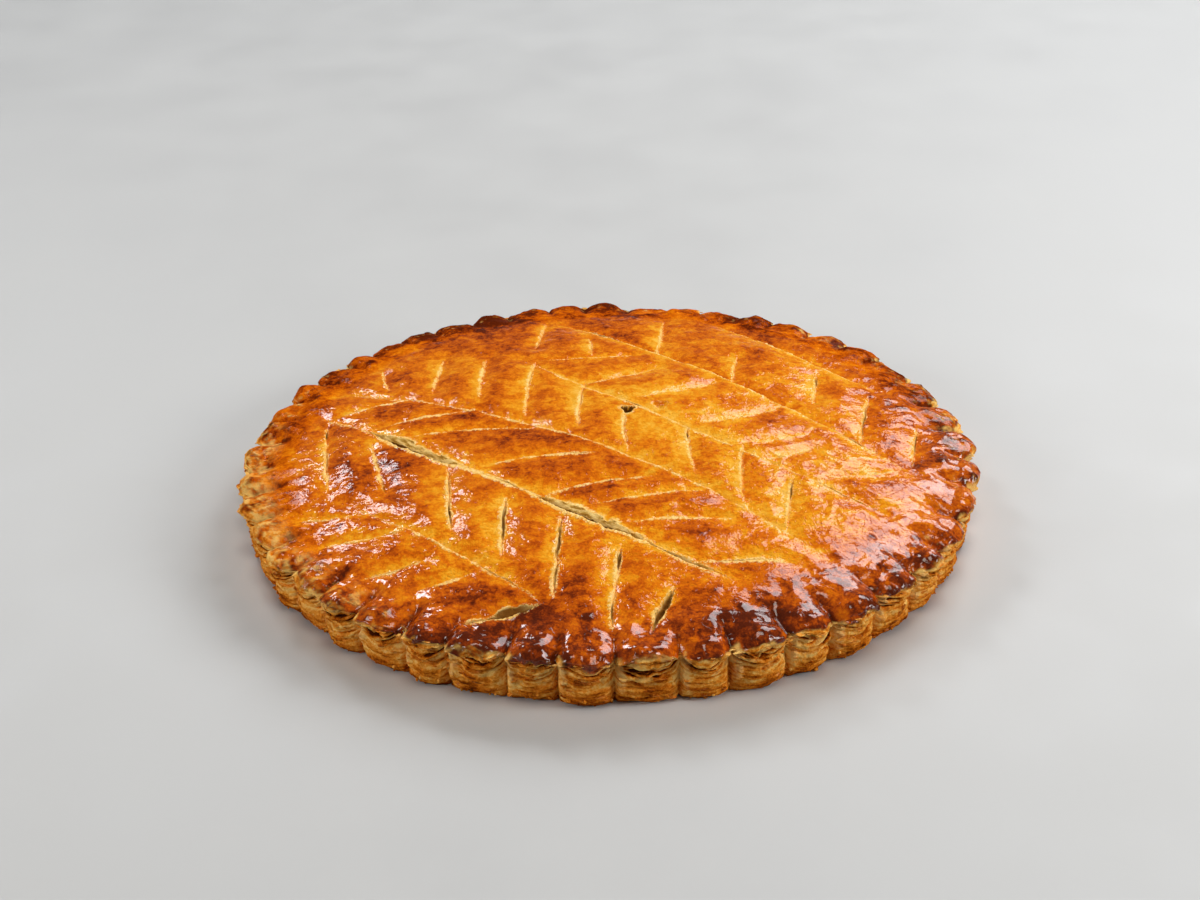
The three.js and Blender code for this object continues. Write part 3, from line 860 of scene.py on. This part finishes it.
def lift_along_normals(at, fields):
    """How far bumps, blisters, wrinkles and torn edges raise the skin."""
    rimlike = smoothstep(96, 112, at.radius) * at.top
    at.blisters = blister_field(at) * at.top * (1 - fields["inside"])
    at.bumps = at.noise(3.4, 2) * (0.10 + 0.20 * rimlike)
    uneven = at.noise(9, 1, 2) * (0.28 + 0.60 * rimlike)
    middle, reach, height = WRINKLED
    at.wrinkled = at.spot(middle, reach)
    warp = at.flat_noise(8, 41)
    folds = np.maximum(0, 1 - 4 * np.abs(noise(at.x / 5.5 + warp, at.y / 5.5 - warp, seed=42)))
    at.wrinkles = folds * (0.15 + at.wrinkled) * height
    crumbly = 0.30 * np.abs(at.flat_noise(0.8, 4)) * (fields["torn"] + fields["inside"])
    lift = uneven + at.bumps + at.noise(1.5, 3) * 0.035 + at.blisters + at.wrinkles + crumbly
    lift = (lift + 0.25 * fields["torn"]) * at.top * (1 - 0.6 * at.bare)
    lift += at.bare * (0.12 * round_noise(at, 3.0, at.layer / 0.5, 5, 2) + 0.20 * at.bumps)
    lift -= 0.55 * at.top * at.bare * np.maximum(0, 0.3 - np.abs(at.noise(3.2, 10, 2)))
    return lift * ~at.base


def push_outwards(at):
    """How far the side's leaves, the flutes' folded edges and the lip stand out."""
    at.fold = bell(at.share - FOLD_AT, FOLD_WIDTH)
    at.fold *= smoothstep(17, 14, at.layer) * smoothstep(2, 8, at.layer)
    at.fold *= 1 + 0.7 * round_noise(at, 3.0, at.layer / 1.2, 8)
    beside = np.where(at.share > 0.5, at.share - 1, at.share) + 0.01
    groove = bell(beside, 0.04) * smoothstep(18, 14, at.layer)
    outwards = (at.out - at.gape) * (at.top | at.side) + at.fold * FOLD - groove * GROOVE
    outwards += 0.45 * round_noise(at, 3.0, 9.5, 7, 2) * smoothstep(2.6, 0, at.layer) * at.side
    return outwards + 0.6 * at.lip * round_noise(at, 4.0, 3.3, 12, 2)


def raise_up(at, fields, well):
    """How far the skin stands up or sinks between and in the cuts, and on the flutes."""
    at.pillow = PILLOW * (1 - np.exp(-((fields["edge"] / PILLOW_REACH) ** 1.6))) - PILLOW
    fade = smoothstep(CUTS_END, CUTS_END - 10, at.radius)
    rise = at.top * (fade * (at.pillow + fields["step"]) - fields["drop"] - well)
    at.crease = bell(np.minimum(at.share, 1 - at.share), 0.11) * at.top
    at.crease *= smoothstep(17, 10, at.inset) * smoothstep(0, 4, at.inset)
    at.crease *= 0.65 + 0.35 * per_flute(9)[np.round(at.place).astype(int) % FLUTE_COUNT]
    knuckle = (at.bulge - 0.7) * smoothstep(3, 8, at.inset) * 0.4
    knuckle += (at.bulge - 0.6) * smoothstep(8, 3, at.inset)
    knuckle *= at.direction(KNUCKLES) * (0.75 + 0.4 * per_flute(8)[at.flute])
    knuckle *= at.top * smoothstep(17, 9, at.inset) * smoothstep(11, 15, at.layer)
    sag = LIP_SAG * per_flute(6)[at.flute] * at.bulge + 0.9 * round_noise(at, 6.0, 1.7, 13, 3)
    return rise - CREASE * at.crease + knuckle + at.lip * sag


def browning(at, fields):
    """From 0, pale gold, to 1, mahogany. Painted shade is added in too: on one side of each cut and in the
    creases between the knuckles.
    """
    brown = LID_BROWNING + 0.12 * smoothstep(84, 116, at.radius) + 0.12 * at.flat_noise(19, 71, 3)
    brown += 0.06 * smoothstep(0.35, 1.0, at.bulge) * smoothstep(104, 116, at.radius)
    brown += at.direction(RIM_BROWNING) * smoothstep(88, 112, at.radius)
    # turned darkens one side of each cut: partly browning, partly painted shade
    brown += 0.11 * (1 + at.pillow / PILLOW) + fields["turned"] - 0.17 * fields["halo"]
    # crease darkens the valleys between the knuckles: partly glaze pooled there, partly painted shade
    brown += 0.5 * at.blisters + 0.36 * at.bumps + 0.20 * at.crease - 0.22 * at.wrinkles
    for middle, reach, strength in PATCHES:
        brown += strength * at.spot(middle, reach)
    return brown + 0.10 * smoothstep(17, 14.5, at.layer) * at.top


def dress(skin, cuts, columns, parts):
    """Raises and cuts the bare skin, and works out the fields that the materials read."""
    at = Places(skin, columns, parts)
    lidlike = at.top & (at.radius < CUTS_END)
    fields = vars(ScoreFields(cuts, np.where(lidlike, at.x, np.inf), at.y))
    well, in_hole = pierce(at, fields)
    at.bare = bare_share(at)
    moved = skin.vertices + skin.normals() * lift_along_normals(at, fields)[:, None]
    outwards = push_outwards(at)
    moved += np.stack([outwards * at.cos, outwards * at.sin, raise_up(at, fields, well)], -1)
    z = moved[:, 2]
    level = TOP_LIMIT - LEVELLING
    z = np.where(z > level, level + LEVELLING * np.tanh((z - level) / LEVELLING), z)
    moved[:, 2] = np.where(at.base, 0, np.maximum(z, CLEARANCE))
    skin.vertices = moved

    lid_matt = LID_MATT * smoothstep(107, 98, at.radius)
    rim_matt = smoothstep(96, 108, at.radius) * at.direction(RIM_MATT)
    return {
        "brown": browning(at, fields),
        "cut": np.maximum(fields["inside"], in_hole),
        # painted shade in the cuts' crevices and inside the holes
        "deep": np.clip(np.maximum(fields["deep"], in_hole), 0, 1),
        "torn": np.clip(fields["torn"], 0, 1),
        "along": fields["along"],
        "across": fields["across"],
        "layer": at.layer + LEAF_DIP * (at.bulge - 0.6),
        "flake": at.flake,
        "bulge": at.bulge,
        "fold": at.fold * (at.top | at.side),
        "smooth": smoothstep(97, 110, at.radius) * at.top,
        "wrinkled": at.wrinkled,
        "matt": np.maximum(np.maximum(at.bare, lid_matt), rim_matt),
        "gape": at.gape,
        "bare": at.bare,
    }


# ---- bits that stand out of the crust ----

FLAKES = 620
CRUMBS = 380      # on the side, most of them at its foot
LID_CRUMBS = 260
BITS_SEED = 5
FLAKE_LAYERS = (0.8, 14.6)  # between which flakes stand out
CRUMB_ROWS = 14   # rows of the side, from the foot up, that crumbs stick to
CRUMB_CLEARANCE = 0.02  # that each keeps above the floor
GOLDEN = (1 + math.sqrt(5)) / 2  # the corners of an icosahedron lie on three rectangles of these proportions
BALL_EDGE = 1.1                  # a little more than the distance between two that are neighbours
BALL_CORNERS = np.array([np.roll((a, b * GOLDEN, 0), turn) for turn in (0, 1, 2) for a in (-1, 1)
                         for b in (-1, 1)]) / math.hypot(1, GOLDEN)


def ball_faces():
    """The twenty faces of the ball's corners, counterclockwise from outside."""
    faces = []
    for i in range(12):
        for j in range(i + 1, 12):
            for k in range(j + 1, 12):
                a, b, c = BALL_CORNERS[[i, j, k]]
                if max(math.dist(a, b), math.dist(b, c), math.dist(a, c)) < BALL_EDGE:
                    faces.append((i, j, k) if np.cross(b - a, c - a) @ a > 0 else (i, k, j))
    return np.array(faces)


class Bits(Skin):
    """Small closed pieces, each with the fields of the place it stands on."""

    def __init__(self, host, fields):
        super().__init__()
        self.host = host
        self.host_fields = fields
        self.anchors = []
        self.faces["bits"] = []

    def put(self, points, faces, anchor):
        first = self.add(points)[0]
        self.faces["bits"].append(faces + first)
        self.anchors.append(np.full(len(points), anchor))

    def fields(self, **fixed):
        anchors = np.concatenate(self.anchors)
        found = {name: values[anchors] for name, values in self.host_fields.items()}
        found.update({name: np.full(len(anchors), value) for name, value in fixed.items()})
        return found


def flake_points(rng, foot, outward):
    """A thin curled leaf, from a foot in the side outwards, as five stations along its length."""
    ahead = np.array([-outward[1], outward[0], 0])
    up = np.array([0, 0, 1.0])
    length = 1.2 + 3.2 * rng.random() ** 2
    reach = 0.3 + 0.8 * rng.random()
    thick = 0.10 + 0.12 * rng.random()
    curl = rng.normal(0.1, 0.45)
    tilt = rng.normal(0, 0.16)
    ragged = rng.random(5)
    points = []
    for t, rough in zip((-1, -0.5, 0, 0.5, 1), ragged):
        middle = foot + (ahead + up * tilt) * t * length / 2
        out = reach * (1 - 0.75 * t * t) * (0.6 + 0.6 * rough)
        thin = thick * (1 - 0.6 * t * t)
        inner = middle - outward * 0.6
        outer = middle + outward * out + up * curl * out
        points += [inner - up * thin, outer - up * thin * 0.5, outer + up * thin * 0.5, inner + up * thin]
    return np.array(points)


def flake_faces():
    faces = [(0, 1, 2), (0, 2, 3), (19, 18, 17), (19, 17, 16)]
    for i in range(0, 16, 4):
        for e in range(4):
            a, b, c, d = i + e, i + (e + 1) % 4, i + 4 + (e + 1) % 4, i + 4 + e
            faces += [(a, d, c), (a, c, b)]
    return np.array(faces)


def outward_from(foot):
    return np.array([*foot[:2], 0]) / math.hypot(*foot[:2])


def make_bits(skin, parts, fields):
    """The leaves that stand out of the side, and the crumbs on its edges and on those of the cuts."""
    rng = np.random.default_rng(BITS_SEED)
    lowest, highest = FLAKE_LAYERS
    rows = [ring for ring, layer in parts["rows"] if lowest < layer < highest]
    flakes, crumbs = Bits(skin, fields), Bits(skin, fields)
    faces = flake_faces()
    for _ in range(FLAKES):
        ring = rows[int(len(rows) * rng.random() ** 1.5)]
        anchor = rng.choice(ring)
        foot = skin.vertices[anchor]
        flakes.put(flake_points(rng, foot, outward_from(foot)), faces, anchor)

    faces = ball_faces()
    torn = np.nonzero((fields["torn"] > 0.75) & (fields["cut"] < 0.5))[0]
    for n in range(LID_CRUMBS + CRUMBS):
        on_lid = n < LID_CRUMBS
        if on_lid:
            anchor = rng.choice(torn)
            size = 0.12 + 0.26 * rng.random() ** 2
        else:
            ring = parts["side"][-1 - int(CRUMB_ROWS * rng.random() ** 2.5)]
            anchor = rng.choice(ring)
            size = 0.22 + 0.55 * rng.random() ** 2.5
        points = size * BALL_CORNERS * rng.uniform(0.6, 1.3, 3) * rng.uniform(0.7, 1.25, (12, 1))
        foot = skin.vertices[anchor]
        points = points + foot + outward_from(foot) * (not on_lid) * 0.3 * size
        points[:, 2] = np.maximum(points[:, 2], CRUMB_CLEARANCE)
        crumbs.put(points, faces, anchor)
    return flakes, crumbs


# ---- materials ----


class Graph:
    """A short way to write a material's nodes."""

    def __init__(self, name):
        self.material = bpy.data.materials.new(name)
        self.material.use_nodes = True
        self.tree = self.material.node_tree
        self.shader = self.tree.nodes["Principled BSDF"]

    def node(self, kind, **settings):
        node = self.tree.nodes.new(kind)
        for name, value in settings.items():
            setattr(node, name, value)
        return node

    def plug(self, source, socket):
        if hasattr(source, "is_linked"):
            self.tree.links.new(source, socket)
        else:
            socket.default_value = source

    def field(self, name):
        return self.node("ShaderNodeAttribute", attribute_name=name).outputs["Fac"]

    def place(self):
        """Millimetres on the object."""
        scaled = self.node("ShaderNodeVectorMath", operation="SCALE")
        self.tree.links.new(self.node("ShaderNodeTexCoord").outputs["Object"], scaled.inputs[0])
        scaled.inputs["Scale"].default_value = 1 / MM
        return scaled.outputs[0]

    def join(self, x, y, z):
        node = self.node("ShaderNodeCombineXYZ")
        for value, socket in zip((x, y, z), node.inputs):
            self.plug(value, socket)
        return node.outputs[0]

    def math(self, operation, a, b=0.0, clamp=False):
        node = self.node("ShaderNodeMath", operation=operation, use_clamp=clamp)
        self.plug(a, node.inputs[0])
        self.plug(b, node.inputs[1])
        return node.outputs[0]

    def times(self, a, b):
        return self.math("MULTIPLY", a, b)

    def add(self, total, *parts):
        for part in parts:
            total = self.math("ADD", total, part)
        return total

    def clamped(self, value):
        return self.math("ADD", value, 0.0, clamp=True)

    def span(self, value, low, high, to_low=0.0, to_high=1.0):
        node = self.node("ShaderNodeMapRange", interpolation_type="SMOOTHSTEP")
        for part, socket in zip((value, low, high, to_low, to_high), node.inputs):
            self.plug(part, socket)
        return node.outputs[0]

    def noise(self, place, size, detail=3.0, rough=0.55, warp=0.0):
        node = self.node("ShaderNodeTexNoise")
        self.plug(place, node.inputs["Vector"])
        node.inputs["Scale"].default_value = 1 / size
        node.inputs["Detail"].default_value = detail
        node.inputs["Roughness"].default_value = rough
        node.inputs["Distortion"].default_value = warp
        return node.outputs["Fac"]

    def ramp(self, value, stops):
        node = self.node("ShaderNodeValToRGB")
        elements = node.color_ramp.elements
        while len(elements) < len(stops):
            elements.new(0.5)
        for element, (at, colour) in zip(elements, stops):
            element.position = at
            element.color = (*colour, 1)
        self.plug(value, node.inputs[0])
        return node.outputs[0]

    def mix(self, share, a, b, kind="MIX"):
        node = self.node("ShaderNodeMix", data_type="RGBA", blend_type=kind)
        for value, socket in ((share, node.inputs[0]), (a, node.inputs[6]), (b, node.inputs[7])):
            if isinstance(value, tuple):
                value = (*value, 1)
            self.plug(value, socket)
        return node.outputs[2]

    def bump(self, height, distance, strength=1.0, under=None):
        node = self.node("ShaderNodeBump")
        node.inputs["Strength"].default_value = strength
        node.inputs["Distance"].default_value = distance * MM
        self.plug(height, node.inputs["Height"])
        if under is not None:
            self.tree.links.new(under, node.inputs["Normal"])
        return node.outputs[0]

    def set(self, **values):
        for name, value in values.items():
            socket = self.shader.inputs[name.replace("_", " ")]
            if isinstance(value, tuple):
                value = (*value, 1)
            self.plug(value, socket)


CRUST_TONES = [  # browning and colour
    (0.00, (0.93, 0.50, 0.085)),
    (0.18, (0.89, 0.43, 0.036)),
    (0.34, (0.84, 0.325, 0.010)),
    (0.48, (0.76, 0.215, 0.004)),
    (0.62, (0.64, 0.132, 0.002)),
    (0.76, (0.46, 0.074, 0.002)),
    (0.88, (0.23, 0.030, 0.002)),
    (1.00, (0.10, 0.013, 0.002)),
]
DOUGH_TONES = [  # inside the cuts
    (0.34, (0.40, 0.19, 0.028)),
    (0.45, (0.64, 0.36, 0.070)),
    (0.56, (0.94, 0.66, 0.24)),
]
BARE_TONES = [  # of the side, from its darkest gaps to its palest leaves
    (0.08, (0.060, 0.012, 0.002)),
    (0.28, (0.34, 0.070, 0.003)),
    (0.46, (0.64, 0.175, 0.010)),
    (0.64, (0.84, 0.34, 0.042)),
    (0.84, (0.94, 0.58, 0.16)),
]
COAT = (0.82, 0.04)  # weight of the glaze's coat where the skin is glazed and where it isn't
# the colour of the painted shade in the crevices of cuts and holes
DOUGH_IN_PAINTED_SHADE = (0.23, 0.090, 0.014)
TORN_DOUGH = ((0.88, 0.50, 0.11), (0.99, 0.70, 0.28))
NOTCH_DOUGH = (0.90, 0.55, 0.20)


def layered_noise(g, place, stretch, layer, layers):
    """Noise in thin layers: stretch is its bumps for each millimetre along the side, layers those up it."""
    mapped = g.node("ShaderNodeVectorMath", operation="MULTIPLY_ADD")
    g.plug(place, mapped.inputs[0])
    mapped.inputs[1].default_value = (stretch, stretch, 0)
    g.plug(g.join(0.0, 0.0, g.times(layer, layers)), mapped.inputs[2])
    return g.noise(mapped.outputs[0], 1.0, 3, 0.6)


def crust_colour(g, place, grain, ridge):
    """The glazed skin's browning."""
    broad = g.noise(place, 8.0, 3, 0.6, 0.6)
    blotch = g.noise(place, 2.6, 3, 0.6, 0.5)
    tone = g.add(g.field("brown"), g.span(broad, 0.3, 0.7, -0.11, 0.13),
                 g.span(blotch, 0.36, 0.64, -0.08, 0.09), g.span(grain, 0.3, 0.7, -0.055, 0.055),
                 g.span(ridge, 0.90, 1.0, 0.0, 0.06))
    return g.ramp(g.clamped(tone), CRUST_TONES)


def dough_colour(g):
    """The layers that show inside the cuts, darkened with painted shade where they lie deep."""
    strata = g.noise(g.join(g.field("along"), g.times(g.field("across"), 6.0), 0.0), 5.0, 2, 0.5)
    return g.mix(g.span(g.field("deep"), 0.25, 0.65), g.ramp(strata, DOUGH_TONES), DOUGH_IN_PAINTED_SHADE)


def wall_colour(g, place, grain, layer, leaves):
    """The side's bare layers: darker in their gaps, where shade is painted, and browner towards the foot and
    where they stand out.
    """
    bands = layered_noise(g, place, 0.13, layer, 0.7)
    striped = g.times(g.math("SUBTRACT", leaves, 0.5), g.span(layer, 4.0, 11.0, 0.25, 0.60))
    baked = g.add(g.add(striped, 0.30), g.times(g.noise(place, 5.0, 4, 0.65), 0.65),
                  g.span(g.field("flake"), -2.5, 2.5, 0.12, -0.12), g.span(grain, 0.3, 0.7, -0.10, 0.10),
                  g.span(bands, 0.3, 0.7, -0.15, 0.15), g.span(g.field("bulge"), 0.25, 1.0, 0.06, -0.10),
                  g.span(layer, 0.0, 10.0, -0.18, 0.06), g.span(layer, 0.0, 1.4, -0.14, 0.0),
                  # painted shade in the gaps between the leaves
                  g.span(layer, 11.5, 14.0, 0.0, 0.08), g.span(g.field("gape"), 0.25, 1.6, 0.0, -0.60))
    notched = g.times(g.span(g.field("fold"), 0.1, 0.9, 0.0, 0.8), g.span(leaves, 0.35, 0.6))
    return g.mix(notched, g.ramp(g.clamped(baked), BARE_TONES), NOTCH_DOUGH)


def pastry_material(name):
    """Glazed skin, the dough inside its cuts and the side's bare layers, shared out by the piece's fields."""
    g = Graph(name)
    place = g.place()
    grain = g.noise(place, 0.8, 3, 0.6)
    vein = g.noise(place, 6.0, 1, 0.5, 1.4)
    ridge = g.math("SUBTRACT", 1.0, g.math("ABSOLUTE", g.math("SUBTRACT", g.times(vein, 2.0), 1.0)))
    layer, bare = g.field("layer"), g.field("bare")
    leaves = layered_noise(g, place, 0.25, layer, 1.3)

    torn = g.add(g.field("torn"), g.span(grain, 0.3, 0.7, -0.4, 0.4))
    torn = g.times(g.span(torn, 0.2, 0.9), g.span(g.field("torn"), 0.05, 0.35))
    pale = g.mix(g.span(g.noise(place, 1.3, 3, 0.6), 0.35, 0.65), *TORN_DOUGH)
    cut = g.span(g.add(g.field("cut"), g.span(grain, 0.3, 0.7, -0.2, 0.2)), 0.4, 0.65)
    skin = g.mix(cut, g.mix(torn, crust_colour(g, place, grain, ridge), pale), dough_colour(g))
    g.set(Base_Color=g.mix(bare, skin, wall_colour(g, place, grain, layer, leaves)))

    dull = g.math("MAXIMUM", g.field("matt"), g.math("MAXIMUM", cut, g.times(torn, 0.8)))
    g.set(Roughness=g.span(dull, 0.0, 1.0, 0.5, 0.8), Specular_IOR_Level=0.0)
    g.set(Coat_Weight=g.span(dull, 0.0, 0.5, *COAT), Coat_Roughness=0.07, Coat_IOR=1.45)

    calm = g.math("SUBTRACT", 1.0, g.times(g.field("smooth"), 0.75))
    wrinkled = g.times(g.span(ridge, 0.92, 1.0), g.add(g.field("wrinkled"), 0.25))
    ripple = g.bump(g.times(g.noise(place, 3.4, 2, 0.5, 0.4), calm), 0.30)
    ripple = g.bump(wrinkled, 0.06, under=ripple)
    glaze = g.bump(g.times(g.noise(place, 1.4, 1, 0.5), calm), 0.08, under=ripple)
    leafed = g.bump(g.times(leaves, bare), 0.8, under=ripple)
    g.set(Normal=g.bump(g.noise(place, 1.25, 2, 0.6), 0.65, under=leafed), Coat_Normal=glaze)
    return g.material


def base_material():
    g = Graph("baked_base")
    place = g.place()
    blotch = g.noise(place, 22, 4, 0.6, 0.5)
    grain = g.noise(place, 1.6, 4, 0.65)
    tone = g.add(g.times(blotch, 0.8), g.times(grain, 0.25))
    g.set(Base_Color=g.ramp(tone, BARE_TONES), Roughness=g.span(grain, 0.3, 0.7, 0.6, 0.85))
    g.set(Normal=g.bump(grain, 0.25, 0.6))
    return g.material


def floor_material():
    g = Graph("pale_floor")
    cloud = g.noise(g.place(), 60, 4, 0.6)
    g.set(Base_Color=g.mix(cloud, (0.50, 0.50, 0.50), (0.56, 0.56, 0.555)))
    g.set(Roughness=g.span(cloud, 0.3, 0.7, 0.5, 0.62))
    return g.material


# ---- pieces ----


def add_object(name, data):
    made = bpy.data.objects.new(name, data)
    bpy.context.scene.collection.objects.link(made)
    return made


def make_piece(name, skin, part, normals, fields, material):
    faces = skin.triangles(part)
    used, faces = np.unique(faces, return_inverse=True)
    faces = faces.reshape(-1, 3)
    mesh = bpy.data.meshes.new(name)
    mesh.vertices.add(len(used))
    mesh.vertices.foreach_set("co", ((skin.vertices[used] - OFFSET) * MM).ravel())
    mesh.loops.add(faces.size)
    mesh.loops.foreach_set("vertex_index", faces.ravel().astype(np.int32))
    mesh.polygons.add(len(faces))
    mesh.polygons.foreach_set("loop_start", np.arange(0, faces.size, 3, dtype=np.int32))
    mesh.polygons.foreach_set("use_smooth", np.ones(len(faces), bool))
    mesh.update()
    mesh.validate()
    mesh.normals_split_custom_set_from_vertices(normals[used].tolist())
    for field, values in fields.items():
        attribute = mesh.attributes.new(field, "FLOAT", "POINT")
        attribute.data.foreach_set("value", values[used].astype(np.float32))
    mesh.materials.append(material)
    piece = add_object(name, mesh)
    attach(piece, "root")
    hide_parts(NODE)


OFFSET = np.array([*solid_middle(), 0.0])

cuts = make_cuts()
skin, columns, parts = build_skin(cuts)
fields = dress(skin, cuts, columns, parts)
low, high = (np.array(corner) / MM + OFFSET for corner in (cad_low, cad_high))
low += BOX_MARGIN * (low < 0)
high -= BOX_MARGIN
skin.vertices = np.clip(skin.vertices, low, high)
flakes, crumbs = make_bits(skin, parts, fields)
crust = pastry_material("glazed_pastry")
bare_crust = pastry_material("bare_pastry")
normals = skin.normals()
make_piece("glazed_lid", skin, "lid", normals, fields, crust)
make_piece("fluted_rim", skin, "rim", normals, fields, crust)
make_piece("flaky_side", skin, "side", normals, fields, bare_crust)
make_piece("baked_base", skin, "base", normals, fields, base_material())
for name, bits, own in (("loose_flakes", flakes, {"gape": 0, "bare": 1, "flake": 1, "fold": 0.3}),
                        ("crumbs", crumbs, {"gape": 0, "bare": 1, "flake": -1, "bulge": 0.2})):
    bits.vertices = np.clip(bits.vertices, low, high)
    make_piece(name, bits, "bits", bits.normals(), bits.fields(**own), bare_crust)

# ---- stage, light and camera ----

FLOOR_HALF = 6.0  # metres, as are the lights' sizes and distance
FLOOR_DROP = 0.2  # millimetres, so that the floor and the base don't lie in one plane
SENSOR = 36
LENS = 54.0
CLIP_START = 0.01
CAMERA_AT = (-2.8, -524.7, 302.9)  # millimetres, in the solid's frame before it was centred
CAMERA_PITCH = 28.535  # degrees below the horizon
CAMERA_ROLL = -1.259
WORLD_COLOUR = (0.80, 0.78, 0.74)
WORLD_STRENGTH = 0.13
LIGHT_DISTANCE = 1.5
# Soft boxes aimed at the pie: azimuth, elevation, width, height, power, colour and spread. Azimuth 0 is
# behind the pie, away from the camera, and 90 is to its right.
LIGHTS = {
    "window_right": (34, 38, 0.78, 0.76, 14.0, (0.96, 0.98, 1.0), 180),
    "window_left": (-30, 36, 0.28, 0.28, 4.6, (0.94, 0.97, 1.0), 180),
    "overhead": (170, 78, 0.45, 0.45, 5.2, (1.0, 0.95, 0.86), 180),
    "fill": (250, 24, 0.5, 0.5, 1.7, (1, 1, 1), 80),
    "fill_right": (104, 25, 0.5, 0.5, 2.4, (1, 1, 1), 80),
}


def make_floor():
    mesh = bpy.data.meshes.new("floor")
    corners = [(x * FLOOR_HALF, y * FLOOR_HALF, 0) for x, y in ((-1, -1), (1, -1), (1, 1), (-1, 1))]
    mesh.from_pydata(corners, [], [(0, 1, 2, 3)])
    mesh.materials.append(floor_material())
    floor = add_object("floor", mesh)
    floor.location.z = -FLOOR_DROP * MM


def area_light(name, azimuth, elevation, width, height, power, colour, spread):
    data = bpy.data.lights.new(name, "AREA")
    data.shape = "RECTANGLE"
    data.size, data.size_y = width, height
    data.energy = power
    data.spread = math.radians(spread)
    data.color = colour
    light = add_object(name, data)
    a, e = math.radians(azimuth), math.radians(elevation)
    way = Vector((math.sin(a) * math.cos(e), math.cos(a) * math.cos(e), math.sin(e)))
    light.location = way * LIGHT_DISTANCE
    light.rotation_mode = "QUATERNION"
    light.rotation_quaternion = way.to_track_quat("Z", "Y")


def make_world():
    world = bpy.data.worlds.new("studio")
    world.use_nodes = True
    back = world.node_tree.nodes["Background"]
    back.inputs["Color"].default_value = (*WORLD_COLOUR, 1)
    back.inputs["Strength"].default_value = WORLD_STRENGTH
    bpy.context.scene.world = world


def make_camera():
    data = bpy.data.cameras.new("camera")
    data.sensor_width = SENSOR
    data.lens = LENS
    data.clip_start = CLIP_START
    camera = add_object("camera", data)
    camera.location = [(place - shift) * MM for place, shift in zip(CAMERA_AT, OFFSET)]
    pitch, roll = math.radians(CAMERA_PITCH), math.radians(CAMERA_ROLL)
    ahead = Vector((0, math.cos(pitch), -math.sin(pitch)))
    right = Vector((1, 0, 0))
    up = right.cross(ahead)
    rolled_right = right * math.cos(roll) + up * math.sin(roll)
    rolled_up = up * math.cos(roll) - right * math.sin(roll)
    camera.rotation_mode = "QUATERNION"
    turn = Matrix((rolled_right, rolled_up, -ahead)).transposed()
    camera.rotation_quaternion = turn.to_quaternion()
    bpy.context.scene.camera = camera


make_floor()
make_world()
for name, settings in LIGHTS.items():
    area_light(name, *settings)
make_camera()
bpy.context.scene.view_settings.view_transform = "Standard"
